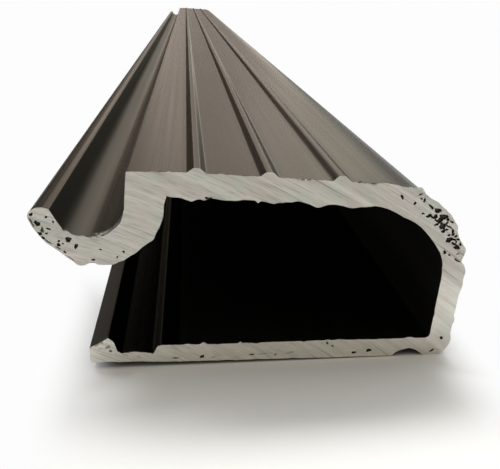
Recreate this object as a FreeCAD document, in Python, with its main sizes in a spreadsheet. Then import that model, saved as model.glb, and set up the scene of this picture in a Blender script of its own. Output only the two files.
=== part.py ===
"""Threshold extension: one length of extruded aluminium bar, sawn square at both ends.

The bar lies along Y on its flat flange, with its round nose towards +X and its open hook towards -X.
The origin is at the middle of its length and width, on the underside. All sizes are in millimetres.
"""
import FreeCAD, Part
import math
import os

import Sketcher
from FreeCAD import Vector

NODE = "extruded_bar"

# Driving dimensions: alias, value, and what the value sets.
DIMENSIONS = [
    ("bar_length", 914.4, "length between the two sawn ends, 36 in"),
    ("overall_width", 38.1, "hook tip to front of nose, 1-1/2 in"),
    ("tread_height", 17.3, "underside to the corner where the tread meets the hook wall"),
    ("land_width", 4.85, "nearly level strip behind the hook wall"),
    ("land_fall", 2.0, "fall of that strip towards the nose, in degrees"),
    ("ramp_fall", 4.35, "fall of the ribbed ramp towards the nose, in degrees"),
    ("web_thickness", 2.1, "thickness of the web below the ramp"),
    ("nose_radius", 7.25, "outside of the bullnose"),
    ("nose_bore_radius", 6.35, "inside of the bullnose, 1/4 in"),
    ("wall_thickness", 1.8, "front wall below the nose"),
    ("wall_lean", 8.7, "lean of the front wall, foot inwards, in degrees"),
    ("heel_radius", 1.3, "outside corner between front wall and flange"),
    ("heel_bore_radius", 0.5, "inside corner between front wall and flange"),
    ("flange_thickness", 1.6, "flat flange that the bar stands on, 1/16 in"),
    ("flange_setback", 4.75, "hook tip to the free edge of the flange"),
    ("toe_radius", 0.4, "lower round of the flange's free edge"),
    ("toe_height", 1.5, "height of the flange's free edge"),
    ("bead_height", 2.3, "top of the sloped bead on the free edge"),
    ("bead_run", 1.7, "free edge to the top of the bead"),
    ("bead_foot", 2.8, "free edge to the foot of the bead"),
    ("channel_width", 2.85, "floor of the snap channel behind the bead"),
    ("channel_floor", 0.9, "metal left under the snap channel"),
    ("channel_slope", 45.0, "slope from the channel up to the flange, in degrees"),
    ("lip_thickness", 1.9, "lip of the hook"),
    ("lip_lean", 31.0, "lean of the lip, tip outwards, in degrees"),
    ("lip_height", 14.3, "underside to the tip of the lip"),
    ("tip_radius", 0.7, "outer round of the lip's tip"),
    ("groove_radius", 3.1, "bottom of the hook's groove"),
    ("groove_height", 14.5, "underside to the centre of the groove's round"),
    ("hook_radius", 5.93, "outside of the hook below the groove"),
    ("hook_floor", 2.33, "metal under the bottom of the groove"),
    ("rib_count", 3, "grip ribs on the ramp"),
    ("rib_pitch", 6.35, "spacing of the ribs along the ramp, 1/4 in"),
    ("rib_start", 1.25, "start of the ramp to the middle of the first rib"),
    ("rib_width", 1.7, "foot of a rib"),
    ("rib_crest", 0.55, "flat top of a rib"),
    ("rib_height", 0.45, "height of a rib above the ramp"),
    ("rib_root", 0.3, "depth that a rib's section reaches into the web"),
    ("score_width", 2.75, "mouth of the score groove under the flange"),
    ("score_depth", 0.65, "depth of the score groove"),
    ("score_setback", 4.8, "front of nose to the middle of the score groove"),
    ("cut_clearance", 2.0, "how far a cutting tool runs past each end of the bar"),
]


class OutlineSketch:
    """A closed sketch on the body's XZ plane, drawn edge by edge and then constrained by name."""

    def __init__(self, body, name):
        plane = next(f for f in body.Origin.OriginFeatures if f.Role == "XZ_Plane")
        self.sketch = body.newObject("Sketcher::SketchObject", name)
        self.sketch.AttachmentSupport = [(plane, "")]
        self.sketch.MapMode = "FlatFace"
        self.edges = {}

    def line(self, name, start, end):
        self.edges[name] = self.sketch.addGeometry(Part.LineSegment(start, end), False)

    def arc(self, name, centre, radius, start_degrees, end_degrees):
        """An arc that turns anticlockwise from its start to its end."""
        circle = Part.Circle(centre, Vector(0, 0, 1), radius)
        arc = Part.ArcOfCircle(circle, math.radians(start_degrees), math.radians(end_degrees))
        self.edges[name] = self.sketch.addGeometry(arc, False)

    def rule(self, kind, *places):
        """Add a constraint without a size. Each place is an edge name or an (edge name, point) pair."""
        self.sketch.addConstraint(Sketcher.Constraint(kind, *self._flat(places)))

    def size(self, kind, places, value, expression):
        """Add a constraint with a size and bind that size to the spreadsheet."""
        constraint = Sketcher.Constraint(kind, *self._flat(places), value)
        index = self.sketch.addConstraint(constraint)
        self.sketch.setExpression(f"Constraints[{index}]", expression)

    def measure(self, kind, places, name):
        """Add a named constraint that only reports a size, for other features to read."""
        index = self.sketch.addConstraint(Sketcher.Constraint(kind, *self._flat(places), 0.0))
        self.sketch.setDriving(index, False)
        self.sketch.renameConstraint(index, name)

    def _flat(self, places):
        flat = []
        for place in places:
            edge, *point = place if isinstance(place, tuple) else (place,)
            flat += [self.edges.get(edge, edge), *point]
        return flat


START, END, CENTRE = 1, 2, 3
ORIGIN = (-1, START)
X_AXIS = -1


def meet(first_normal, first_reach, second_normal, second_reach):
    """The point that lies at the given reach along each of two directions."""
    spread = first_normal.x * second_normal.y - first_normal.y * second_normal.x
    x = (first_reach * second_normal.y - second_reach * first_normal.y) / spread
    y = (second_reach * first_normal.x - first_reach * second_normal.x) / spread
    return Vector(x, y, 0)


def make_sheet(doc):
    sheet = doc.addObject("Spreadsheet::Sheet", "sizes")
    for row, (alias, value, note) in enumerate(DIMENSIONS, start=1):
        sheet.set(f"A{row}", alias)
        sheet.set(f"B{row}", str(value))
        sheet.set(f"C{row}", note)
        sheet.setAlias(f"B{row}", alias)
    doc.recompute()
    return sheet


def make_die_section(body, size):
    """The outline of the extrusion without its ribs and score groove, drawn anticlockwise from the toe."""
    level = Vector(0, 1, 0)
    ramp_angle = math.radians(size["ramp_fall"])
    along_ramp = Vector(math.cos(ramp_angle), -math.sin(ramp_angle), 0)
    above_ramp = Vector(math.sin(ramp_angle), math.cos(ramp_angle), 0)
    wall_angle = math.radians(size["wall_lean"])
    wall_front = Vector(math.cos(wall_angle), -math.sin(wall_angle), 0)
    lip_angle = math.radians(size["lip_lean"])
    lip_back = Vector(math.cos(lip_angle), math.sin(lip_angle), 0)
    half_width = size["overall_width"] / 2

    # The hook: tip, lip and groove, then the wall that rises from the groove to the tread corner.
    # Its outside round runs from the lip, under the groove, to the web, and so sets the wall's root.
    tip = Vector(-half_width + size["tip_radius"], size["lip_height"] - size["tip_radius"], 0)
    lip_outside = tip.dot(lip_back) - size["tip_radius"]
    lip_inside = lip_outside + size["lip_thickness"]
    lip_top = meet(lip_back, lip_inside, level, size["lip_height"])
    groove = meet(lip_back, lip_inside + size["groove_radius"], level, size["groove_height"])
    wall_left = groove.dot(along_ramp) + size["groove_radius"]
    tread_corner = meet(along_ramp, wall_left, level, size["tread_height"])
    hook_radius = size["hook_radius"]
    hook_height = size["groove_height"] - size["groove_radius"] - size["hook_floor"] + hook_radius
    hook = meet(lip_back, lip_outside + hook_radius, level, hook_height)

    # The tread: a nearly level land, then the ramp, which runs into the nose.
    land_drop = size["land_width"] * math.tan(math.radians(size["land_fall"]))
    ramp_top = tread_corner + Vector(size["land_width"], -land_drop, 0)
    ramp_level = ramp_top.dot(above_ramp)
    web_level = ramp_level - size["web_thickness"]
    hook_rise = web_level - hook.dot(above_ramp)
    hook_reach = math.sqrt(hook_radius ** 2 - hook_rise ** 2)
    root_corner = hook + above_ramp * hook_rise + along_ramp * hook_reach
    hook_end = 360 - size["ramp_fall"] + math.degrees(math.atan2(hook_rise, hook_reach))
    nose_x = half_width - size["nose_radius"]
    nose = meet(Vector(1, 0, 0), nose_x, above_ramp, ramp_level - size["nose_radius"])
    wall_outside = nose.dot(wall_front) + size["nose_radius"]
    wall_inside = wall_outside - size["wall_thickness"]
    bore_radius = size["nose_bore_radius"]
    nose_bore = meet(wall_front, wall_inside - bore_radius, above_ramp, web_level - bore_radius)

    # The flange, with its bead and snap channel at the free edge.
    flange = size["flange_thickness"]
    heel = meet(wall_front, wall_outside - size["heel_radius"], level, size["heel_radius"])
    heel_bore_radius = size["heel_bore_radius"]
    heel_bore = meet(wall_front, wall_inside - heel_bore_radius, level, flange + heel_bore_radius)
    toe_x = -half_width + size["flange_setback"]
    toe = Vector(toe_x + size["toe_radius"], size["toe_radius"], 0)
    toe_top = Vector(toe_x, size["toe_height"], 0)
    bead_top = Vector(toe_x + size["bead_run"], size["bead_height"], 0)
    bead_foot = Vector(toe_x + size["bead_foot"], size["channel_floor"], 0)
    channel_end = bead_foot + Vector(size["channel_width"], 0, 0)
    slope_run = (flange - size["channel_floor"]) / math.tan(math.radians(size["channel_slope"]))
    slope_top = Vector(channel_end.x + slope_run, flange, 0)

    ramp_square = 90 - size["ramp_fall"]
    lip_square = 180 + size["lip_lean"]
    outline = OutlineSketch(body, "die_section")
    outline.line("underside", Vector(toe.x, 0, 0), Vector(heel.x, 0, 0))
    outline.arc("heel", heel, size["heel_radius"], -90, -size["wall_lean"])
    outline.line(
        "wall_front", heel + wall_front * size["heel_radius"], nose + wall_front * size["nose_radius"])
    outline.arc("nose", nose, size["nose_radius"], -size["wall_lean"], ramp_square)
    outline.line("ramp", nose + above_ramp * size["nose_radius"], ramp_top)
    outline.line("land", ramp_top, tread_corner)
    outline.line("hook_wall", tread_corner, groove + along_ramp * size["groove_radius"])
    outline.arc("groove", groove, size["groove_radius"], lip_square, 360 - size["ramp_fall"])
    outline.line("lip_inside", groove - lip_back * size["groove_radius"], lip_top)
    outline.line("lip_tip", lip_top, Vector(tip.x, size["lip_height"], 0))
    outline.arc("tip", tip, size["tip_radius"], 90, lip_square)
    outline.line("lip_outside", tip - lip_back * size["tip_radius"], hook - lip_back * hook_radius)
    outline.arc("hook", hook, hook_radius, lip_square, hook_end)
    outline.line("web_below", root_corner, nose_bore + above_ramp * bore_radius)
    outline.arc("nose_bore", nose_bore, bore_radius, -size["wall_lean"], ramp_square)
    outline.line(
        "wall_back", nose_bore + wall_front * bore_radius, heel_bore + wall_front * heel_bore_radius)
    outline.arc("heel_bore", heel_bore, heel_bore_radius, -90, -size["wall_lean"])
    outline.line("flange_top", Vector(heel_bore.x, flange, 0), slope_top)
    outline.line("channel_slope", slope_top, channel_end)
    outline.line("channel_floor", channel_end, bead_foot)
    outline.line("bead_back", bead_foot, bead_top)
    outline.line("bead_slope", bead_top, toe_top)
    outline.line("toe_edge", toe_top, Vector(toe_x, toe.y, 0))
    outline.arc("toe", toe, size["toe_radius"], 180, 270)

    # Where two edges meet at a corner.
    corners = [
        ("ramp", "land"), ("land", "hook_wall"), ("lip_inside", "lip_tip"),
        ("hook", "web_below"), ("flange_top", "channel_slope"), ("channel_slope", "channel_floor"),
        ("channel_floor", "bead_back"), ("bead_back", "bead_slope"), ("bead_slope", "toe_edge"),
    ]
    for before, after in corners:
        outline.rule("Coincident", (before, END), (after, START))

    # Where a straight edge runs smoothly into a round: edge and its end, round and its end.
    smooth_joins = [
        ("underside", START, "toe", END), ("toe_edge", END, "toe", START),
        ("underside", END, "heel", START), ("wall_front", START, "heel", END),
        ("wall_front", END, "nose", START), ("ramp", START, "nose", END),
        ("hook_wall", END, "groove", END), ("lip_inside", START, "groove", START),
        ("lip_tip", END, "tip", START), ("lip_outside", START, "tip", END),
        ("lip_outside", END, "hook", START), ("web_below", END, "nose_bore", END),
        ("wall_back", START, "nose_bore", START), ("wall_back", END, "heel_bore", END),
        ("flange_top", START, "heel_bore", START),
    ]
    for edge, edge_end, bend, bend_end in smooth_joins:
        outline.rule("Tangent", (edge, edge_end), (bend, bend_end))

    for edge in ("underside", "lip_tip", "flange_top", "channel_floor"):
        outline.rule("Horizontal", edge)
    outline.rule("Vertical", "toe_edge")
    outline.rule("PointOnObject", ("underside", START), X_AXIS)
    for edge, partner in [
        ("web_below", "ramp"), ("wall_back", "wall_front"), ("lip_outside", "lip_inside"),
    ]:
        outline.rule("Parallel", edge, partner)
    outline.rule("Perpendicular", "hook_wall", "ramp")

    for edge, alias in [
        ("heel", "heel_radius"), ("nose", "nose_radius"), ("groove", "groove_radius"),
        ("tip", "tip_radius"), ("hook", "hook_radius"), ("nose_bore", "nose_bore_radius"),
        ("heel_bore", "heel_bore_radius"), ("toe", "toe_radius"),
    ]:
        outline.size("Radius", (edge,), size[alias], f"sizes.{alias}")

    # Leans are angles from the X axis to the edge, taken in the direction that the edge is drawn.
    for edge, degrees, expression in [
        ("ramp", 180 - size["ramp_fall"], "180 - sizes.ramp_fall"),
        ("land", 180 - size["land_fall"], "180 - sizes.land_fall"),
        ("wall_front", 90 - size["wall_lean"], "90 - sizes.wall_lean"),
        ("lip_inside", 90 + size["lip_lean"], "90 + sizes.lip_lean"),
        ("channel_slope", size["channel_slope"] - 180, "sizes.channel_slope - 180"),
    ]:
        outline.size("Angle", (X_AXIS, edge), math.radians(degrees), f"({expression}) * 1 deg")

    # Metal thicknesses, each from a point on one face to the opposite face.
    for point, edge, alias in [
        (("web_below", START), "ramp", "web_thickness"),
        (("wall_back", START), "wall_front", "wall_thickness"),
        (("lip_outside", START), "lip_inside", "lip_thickness"),
    ]:
        outline.size("Distance", (point, edge), size[alias], f"sizes.{alias}")
    outline.size(
        "DistanceY", (ORIGIN, ("hook", CENTRE)), hook_height,
        "sizes.groove_height - sizes.groove_radius - sizes.hook_floor + sizes.hook_radius")

    for point, height, alias in [
        (("land", END), size["tread_height"], "tread_height"),
        (("lip_tip", START), size["lip_height"], "lip_height"),
        (("groove", CENTRE), size["groove_height"], "groove_height"),
        (("flange_top", START), flange, "flange_thickness"),
        (("toe_edge", START), size["toe_height"], "toe_height"),
        (("bead_slope", START), size["bead_height"], "bead_height"),
        (("channel_floor", END), size["channel_floor"], "channel_floor"),
    ]:
        outline.size("DistanceY", (ORIGIN, point), height, f"sizes.{alias}")

    edge_x = "sizes.overall_width / 2"
    for first, second, width, expression in [
        (("tip", CENTRE), ORIGIN, -tip.x, f"{edge_x} - sizes.tip_radius"),
        (ORIGIN, ("nose", CENTRE), nose.x, f"{edge_x} - sizes.nose_radius"),
        (("toe_edge", START), ORIGIN, -toe_x, f"{edge_x} - sizes.flange_setback"),
        (("toe_edge", START), ("bead_slope", START), size["bead_run"], "sizes.bead_run"),
        (("toe_edge", START), ("channel_floor", END), size["bead_foot"], "sizes.bead_foot"),
        (("channel_floor", END), ("channel_floor", START), size["channel_width"], "sizes.channel_width"),
        (("land", END), ("land", START), size["land_width"], "sizes.land_width"),
    ]:
        outline.size("DistanceX", (first, second), width, expression)

    # The top of the ramp is only measured here, for the ribs that start from it.
    outline.measure("DistanceX", (ORIGIN, ("ramp", END)), "ramp_top_x")
    outline.measure("DistanceY", (ORIGIN, ("ramp", END)), "ramp_top_z")
    return outline.sketch, ramp_top


def make_rib_section(body, size):
    """One rib, drawn in a frame that starts at the top of the ramp and runs down along it."""
    rib = OutlineSketch(body, "rib_section")
    foot, crest = size["rib_width"] / 2, size["rib_crest"] / 2
    middle, root, top = size["rib_start"], -size["rib_root"], size["rib_height"]
    rib.line("root", Vector(middle - foot, root, 0), Vector(middle + foot, root, 0))
    rib.line("right_root", Vector(middle + foot, root, 0), Vector(middle + foot, 0, 0))
    rib.line("right_flank", Vector(middle + foot, 0, 0), Vector(middle + crest, top, 0))
    rib.line("crest", Vector(middle + crest, top, 0), Vector(middle - crest, top, 0))
    rib.line("left_flank", Vector(middle - crest, top, 0), Vector(middle - foot, 0, 0))
    rib.line("left_root", Vector(middle - foot, 0, 0), Vector(middle - foot, root, 0))
    names = list(rib.edges)
    for before, after in zip(names, names[1:] + names[:1]):
        rib.rule("Coincident", (before, END), (after, START))
    rib.rule("Horizontal", "root")
    rib.rule("Horizontal", "crest")
    rib.rule("Vertical", "right_root")
    rib.rule("Vertical", "left_root")
    rib.rule("PointOnObject", ("right_flank", START), X_AXIS)
    rib.rule("PointOnObject", ("left_flank", END), X_AXIS)
    rib.size("DistanceY", (("right_root", START), ("right_root", END)), size["rib_root"], "sizes.rib_root")
    rib.size("DistanceY", (ORIGIN, ("crest", START)), size["rib_height"], "sizes.rib_height")
    rib.size("DistanceX", (("crest", END), ("crest", START)), size["rib_crest"], "sizes.rib_crest")
    rib.size("DistanceX", (("root", START), ("root", END)), size["rib_width"], "sizes.rib_width")
    rib.size("DistanceX", (ORIGIN, ("crest", END)), middle - crest, "sizes.rib_start - sizes.rib_crest / 2")
    rib.size("DistanceX", (ORIGIN, ("root", START)), middle - foot, "sizes.rib_start - sizes.rib_width / 2")
    return rib.sketch


def place_on_ramp(rib_section, size, ramp_top):
    """Turn the rib's sketch to the ramp and move it to the ramp's top, as the die section has it."""
    rib_section.AttachmentOffset = FreeCAD.Placement(
        Vector(ramp_top.x, ramp_top.y, 0), FreeCAD.Rotation(Vector(0, 0, 1), -size["ramp_fall"]))
    rib_section.setExpression("AttachmentOffset.Base.x", "die_section.Constraints.ramp_top_x")
    rib_section.setExpression("AttachmentOffset.Base.y", "die_section.Constraints.ramp_top_z")
    rib_section.setExpression("AttachmentOffset.Rotation.Angle", "-sizes.ramp_fall * 1 deg")


def make_score_section(body, size):
    """The circle that leaves the score groove in the underside, its centre below the flange."""
    half_mouth, depth = size["score_width"] / 2, size["score_depth"]
    radius = (half_mouth ** 2 + depth ** 2) / (2 * depth)
    setback_x = size["overall_width"] / 2 - size["score_setback"]
    score = OutlineSketch(body, "score_section")
    circle = Part.Circle(Vector(setback_x, depth - radius, 0), Vector(0, 0, 1), radius)
    score.edges["score"] = score.sketch.addGeometry(circle, False)
    radius_rule = "((sizes.score_width / 2) ^ 2 + sizes.score_depth ^ 2) / (2 * sizes.score_depth)"
    score.size("Radius", ("score",), radius, radius_rule)
    score.size(
        "DistanceX", (ORIGIN, ("score", CENTRE)), setback_x, "sizes.overall_width / 2 - sizes.score_setback")
    score.size(
        "DistanceY", (("score", CENTRE), ORIGIN), radius - depth, f"{radius_rule} - sizes.score_depth")
    return score.sketch


def make_pad(body, name, profile):
    """Extrude a section over the whole bar, half to each side of its middle."""
    pad = body.newObject("PartDesign::Pad", name)
    pad.Profile = profile
    pad.SideType = "Symmetric"
    pad.setExpression("Length", "sizes.bar_length")
    return pad


def make_bar(doc, size):
    body = doc.addObject("PartDesign::Body", NODE)
    body.Label = NODE

    die_section, ramp_top = make_die_section(body, size)
    make_pad(body, "plain_bar", die_section)
    doc.recompute()

    rib_section = make_rib_section(body, size)
    place_on_ramp(rib_section, size, ramp_top)
    first_rib = make_pad(body, "first_rib", rib_section)
    doc.recompute()
    ribs = body.newObject("PartDesign::LinearPattern", "ribs")
    ribs.Originals = [first_rib]
    ribs.Direction = (rib_section, ["H_Axis"])
    ribs.Mode = "Spacing"
    ribs.setExpression("Offset", "sizes.rib_pitch")
    ribs.setExpression("Occurrences", "sizes.rib_count")
    body.Tip = ribs
    doc.recompute()
    ribbed_volume = body.Shape.Volume

    score_groove = body.newObject("PartDesign::Pocket", "score_groove")
    score_groove.Profile = make_score_section(body, size)
    score_groove.SideType = "Symmetric"
    score_groove.setExpression("Length", "sizes.bar_length + 2 * sizes.cut_clearance")
    body.Tip = score_groove
    doc.recompute()
    if body.Shape.Volume >= ribbed_volume:
        raise RuntimeError("the score groove removed no metal")
    return body


def check(doc, body):
    """Stop when any object failed to recompute or the bar isn't one valid solid."""
    for item in doc.Objects:
        if "Invalid" in item.State or "Error" in item.State:
            raise RuntimeError(f"{item.Name} did not recompute: {item.State}")
    shape = body.Shape
    if shape.isNull() or not shape.isValid() or len(shape.Solids) != 1:
        raise RuntimeError(f"{body.Label} is not one valid solid")


def main():
    doc = FreeCAD.newDocument("threshold_extension")
    sheet = make_sheet(doc)
    size = {alias: float(sheet.get(alias)) for alias, _, _ in DIMENSIONS}
    bar = make_bar(doc, size)
    check(doc, bar)
    os.makedirs("parts", exist_ok=True)
    bar.Shape.exportStep(f"parts/{bar.Label}.step")
    box = bar.Shape.BoundBox
    print(f"{bar.Label}: {box.XLength:.3f} x {box.YLength:.3f} x {box.ZLength:.3f} mm, "
          f"{bar.Shape.Volume / 1000:.2f} cm3")


main()
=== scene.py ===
"""Looks of a threshold extension: one bar of bronze anodised aluminium, sawn square at both ends.

The bar lies along Y on its flat flange. Its section stands in the XZ plane, with the round nose
towards +X and the open hook towards -X. The section and all that is cut or torn on it are in
millimetres, and become metres where the meshes are made. Finishes, which read Object coordinates,
are in metres.
"""
import logging
import math
from collections.abc import Sequence
from dataclasses import dataclass, field
from enum import Enum
from functools import partial, reduce
from typing import Any

import bpy
import numpy as np
import numpy.typing as npt
from mathutils import Euler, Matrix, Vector
from mathutils.geometry import delaunay_2d_cdt
from mathutils.kdtree import KDTree


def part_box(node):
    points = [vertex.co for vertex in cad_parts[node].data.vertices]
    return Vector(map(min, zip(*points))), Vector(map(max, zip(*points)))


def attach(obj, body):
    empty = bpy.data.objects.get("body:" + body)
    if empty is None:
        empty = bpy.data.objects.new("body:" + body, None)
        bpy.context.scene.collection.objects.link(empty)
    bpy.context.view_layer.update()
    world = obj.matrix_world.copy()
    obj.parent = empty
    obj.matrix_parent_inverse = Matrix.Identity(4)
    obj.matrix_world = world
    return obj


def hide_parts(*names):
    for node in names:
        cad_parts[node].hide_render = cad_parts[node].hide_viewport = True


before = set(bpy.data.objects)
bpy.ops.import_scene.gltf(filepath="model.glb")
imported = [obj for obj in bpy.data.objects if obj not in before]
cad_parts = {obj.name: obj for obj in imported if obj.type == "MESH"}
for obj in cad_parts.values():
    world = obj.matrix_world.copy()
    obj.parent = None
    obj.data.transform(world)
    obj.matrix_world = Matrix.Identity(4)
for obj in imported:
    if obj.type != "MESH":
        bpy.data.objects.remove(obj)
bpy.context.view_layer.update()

LOG = logging.getLogger("threshold_extension")
MM = 0.001
NODE = "extruded_bar"

Floats = npt.NDArray[np.float64]
Triple = tuple[float, float, float]
Colour = Triple
Range = tuple[float, float]
Socket = bpy.types.NodeSocket
Feeds = dict[str | int, Any]


def put_in_scene(name: str, data: bpy.types.ID) -> bpy.types.Object:
    """Put a mesh or a camera into the scene.

    Args:
        name: The object's name.
        data: What the object shows.

    Returns:
        The object, at the origin.
    """
    piece = bpy.data.objects.new(name, data)
    bpy.context.scene.collection.objects.link(piece)
    return piece


# --------------------------------------------------------------------------------------------------
# Node trees


class NodeBoard:
    """A node tree under construction, with short ways to add nodes and to feed their sockets."""

    def __init__(self, tree: bpy.types.NodeTree) -> None:
        """Take over a tree.

        Args:
            tree: The material, world or geometry tree that the nodes go into.
        """
        self.tree = tree

    def add(self, kind: str, feeds: Feeds | None = None, **settings: Any) -> bpy.types.Node:
        """Add a node.

        Args:
            kind: The node's type name in Blender.
            feeds: Values or other nodes' outputs, by the name or index of the input they go to.
            **settings: Properties of the node itself, such as its operation.

        Returns:
            The new node.
        """
        node = self.tree.nodes.new(kind)
        for name, value in settings.items():
            setattr(node, name, value)
        for key, value in (feeds or {}).items():
            self.feed(node.inputs[key], value)
        return node

    def feed(self, socket: Socket, value: Any) -> None:
        """Link an output to a socket, or set the socket's own value.

        Args:
            socket: The input to fill.
            value: Another node's output, or a plain value.
        """
        if isinstance(value, Socket):
            self.tree.links.new(value, socket)
        else:
            socket.default_value = value

    def maths(self, operation: str, *values: Any) -> Socket:
        """The result of a Math node on one, two or three values."""
        return self.add("ShaderNodeMath", dict(enumerate(values)), operation=operation).outputs[0]

    def plus(self, first: Any, second: Any) -> Socket:
        """The sum of two values."""
        return self.maths("ADD", first, second)

    def minus(self, first: Any, second: Any) -> Socket:
        """The first value less the second."""
        return self.maths("SUBTRACT", first, second)

    def times(self, *values: Any) -> Socket:
        """The product of two or more values."""
        return reduce(partial(self.maths, "MULTIPLY"), values)

    def most(self, *values: Any) -> Socket:
        """The largest of two or more values."""
        return reduce(partial(self.maths, "MAXIMUM"), values)

    def away(self, value: Any, middle: Any) -> Socket:
        """How far a value is from a middle, on either side of it."""
        return self.maths("ABSOLUTE", self.minus(value, middle))

    def diagonal(self, across: Any, up: Any) -> Socket:
        """The straight distance that two offsets at right angles make together."""
        return self.maths("SQRT", self.plus(self.times(across, across), self.times(up, up)))

    def vector_maths(self, operation: str, *values: Any) -> Socket:
        """The vector that a Vector Math node makes of its values."""
        feeds = dict(enumerate(values))
        return self.add("ShaderNodeVectorMath", feeds, operation=operation).outputs[0]

    def stretch(self, vector: Any, scale: Triple) -> Socket:
        """A vector with each of its three parts scaled by its own factor."""
        return self.vector_maths("MULTIPLY", vector, scale)

    def scaled(self, vector: Any, factor: Any) -> Socket:
        """A vector or a colour times one factor."""
        feeds = {0: vector, "Scale": factor}
        return self.add("ShaderNodeVectorMath", feeds, operation="SCALE").outputs[0]

    def length(self, vector: Any) -> Socket:
        """The length of a vector."""
        return self.add("ShaderNodeVectorMath", {0: vector}, operation="LENGTH").outputs["Value"]

    def parts(self, vector: Any) -> bpy.types.bpy_prop_collection:
        """The X, Y and Z outputs of a vector."""
        return self.add("ShaderNodeSeparateXYZ", {0: vector}).outputs

    def ramp(
        self, value: Any, low: float, high: float, to_low: Any = 0.0, to_high: Any = 1.0,
    ) -> Socket:
        """Ease a value from one range to another.

        Args:
            value: What is mapped.
            low: Where the range starts.
            high: Where the range ends.
            to_low: The result at and below the start.
            to_high: The result at and above the end.

        Returns:
            The mapped value.
        """
        feeds = {"Value": value, "From Min": low, "From Max": high,
                 "To Min": to_low, "To Max": to_high}
        return self.add("ShaderNodeMapRange", feeds, interpolation_type="SMOOTHSTEP").outputs[0]

    def fall(self, value: Any, low: float, high: float) -> Socket:
        """A share that eases from 1 where a range starts to 0 where it ends."""
        return self.ramp(value, low, high, 1.0, 0.0)

    def steps(self, value: Any, stops: Sequence[tuple[float, Colour]]) -> Socket:
        """A colour that goes from stop to stop as a value grows.

        Args:
            value: What the colour follows.
            stops: Values, from the lowest to the highest, and the colour at each.

        Returns:
            The colour.
        """
        first, last = stops[0][0], stops[-1][0]
        span = {"Value": value, "From Min": first, "From Max": last}
        node = self.add("ShaderNodeValToRGB", {0: self.add("ShaderNodeMapRange", span).outputs[0]})
        marks = node.color_ramp.elements
        for _ in stops[2:]:
            marks.new(0.5)
        for mark, (at, colour) in zip(marks, stops):
            mark.position = (at - first) / (last - first)
            mark.color = opaque(colour)
        return node.outputs[0]

    def line_noise(self, value: Any, scale: float, detail: float) -> Socket:
        """Noise between 0 and 1 along a single value."""
        feeds = {"W": value, "Scale": scale, "Detail": detail}
        return self.add("ShaderNodeTexNoise", feeds, noise_dimensions="1D").outputs[0]

    def bumps(self, height: Any, strength: float, distance: float) -> Socket:
        """The shading normal of a surface with fine relief, whose depth is in metres."""
        feeds = {"Strength": strength, "Distance": distance, "Height": height}
        return self.add("ShaderNodeBump", feeds).outputs[0]

    def blend(self, factor: Any, first: Any, second: Any) -> Socket:
        """A colour at a share of the way between two, each of them three numbers or an output."""
        feeds = {0: factor, 6: opaque(first), 7: opaque(second)}
        return self.add("ShaderNodeMix", feeds, data_type="RGBA").outputs[2]


def opaque(colour: Any) -> Any:
    """A colour of three numbers with a full alpha, or an output as it is."""
    return (*colour, 1.0) if isinstance(colour, tuple) else colour


@dataclass(frozen=True)
class Grain:
    """A noise pattern: its fineness, its number of finer layers, and how it scales each axis."""

    fineness: float
    layers: float
    stretch: Triple = (1.0, 1.0, 1.0)

    def value(self, board: NodeBoard, place: Any) -> Socket:
        """Lay the pattern over a surface.

        Args:
            board: The nodes.
            place: Where each point of the surface lies.

        Returns:
            The pattern's value there, between 0 and 1.
        """
        where = board.stretch(place, self.stretch)
        feeds = {"Vector": where, "Scale": self.fineness, "Detail": self.layers}
        return board.add("ShaderNodeTexNoise", feeds).outputs[0]


class ShapeTree(NodeBoard):
    """A geometry node tree with named inputs, which turns an object into a plain mesh."""

    def __init__(self, name: str) -> None:
        """Start a tree that takes and gives geometry.

        Args:
            name: The tree's name.
        """
        super().__init__(bpy.data.node_groups.new(name, "GeometryNodeTree"))
        self.identifiers: dict[str, str] = {}
        add_socket = self.tree.interface.new_socket
        for way in ("INPUT", "OUTPUT"):
            add_socket("Geometry", in_out=way, socket_type="NodeSocketGeometry")
        self.entry = self.tree.nodes.new("NodeGroupInput")

    def named_input(self, name: str, kind: str) -> Socket:
        """Add an input to the tree.

        Args:
            name: What the input sets.
            kind: Its type, such as Float, Int, Object or Material.

        Returns:
            The output of the tree's entry that carries it.
        """
        add_socket = self.tree.interface.new_socket
        socket = add_socket(name, in_out="INPUT", socket_type=f"NodeSocket{kind}")
        self.identifiers[name] = socket.identifier
        return self.entry.outputs[name]

    def object_input(self, name: str) -> Socket:
        """The geometry of an object that is one of the tree's inputs."""
        source = {"Object": self.named_input(name, "Object")}
        return self.add("GeometryNodeObjectInfo", source).outputs["Geometry"]

    def attribute(self, name: str, kind: str = "FLOAT") -> Socket:
        """A named attribute's value."""
        node = self.add("GeometryNodeInputNamedAttribute", {"Name": name}, data_type=kind)
        return node.outputs[0]

    def die_away(self, distance: Any, reach: Any) -> Socket:
        """A share that is 1 at no distance and dies away over a reach."""
        return self.maths("EXPONENT", self.times(self.maths("DIVIDE", distance, reach), -1.0))

    def shift(self, geometry: Any, offset: Any) -> Socket:
        """The geometry with its points moved by an offset."""
        feeds = {"Geometry": geometry, "Offset": offset}
        return self.add("GeometryNodeSetPosition", feeds).outputs[0]

    def end(self, geometry: Any) -> None:
        """Link the finished geometry to the tree's output."""
        self.add("NodeGroupOutput", {0: geometry})

    def apply(self, source: bpy.types.Object, values: dict[str, Any]) -> bpy.types.Mesh:
        """Run the tree on an object.

        Args:
            source: The object whose mesh goes in.
            values: The inputs' values, by name.

        Returns:
            The result as a plain mesh.
        """
        modifier = source.modifiers.new(self.tree.name, "NODES")
        modifier.node_group = self.tree
        for name, value in values.items():
            modifier[self.identifiers[name]] = value
        evaluated = source.evaluated_get(bpy.context.evaluated_depsgraph_get())
        mesh = bpy.data.meshes.new_from_object(evaluated)
        source.modifiers.remove(modifier)
        return mesh


# --------------------------------------------------------------------------------------------------
# The section


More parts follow.
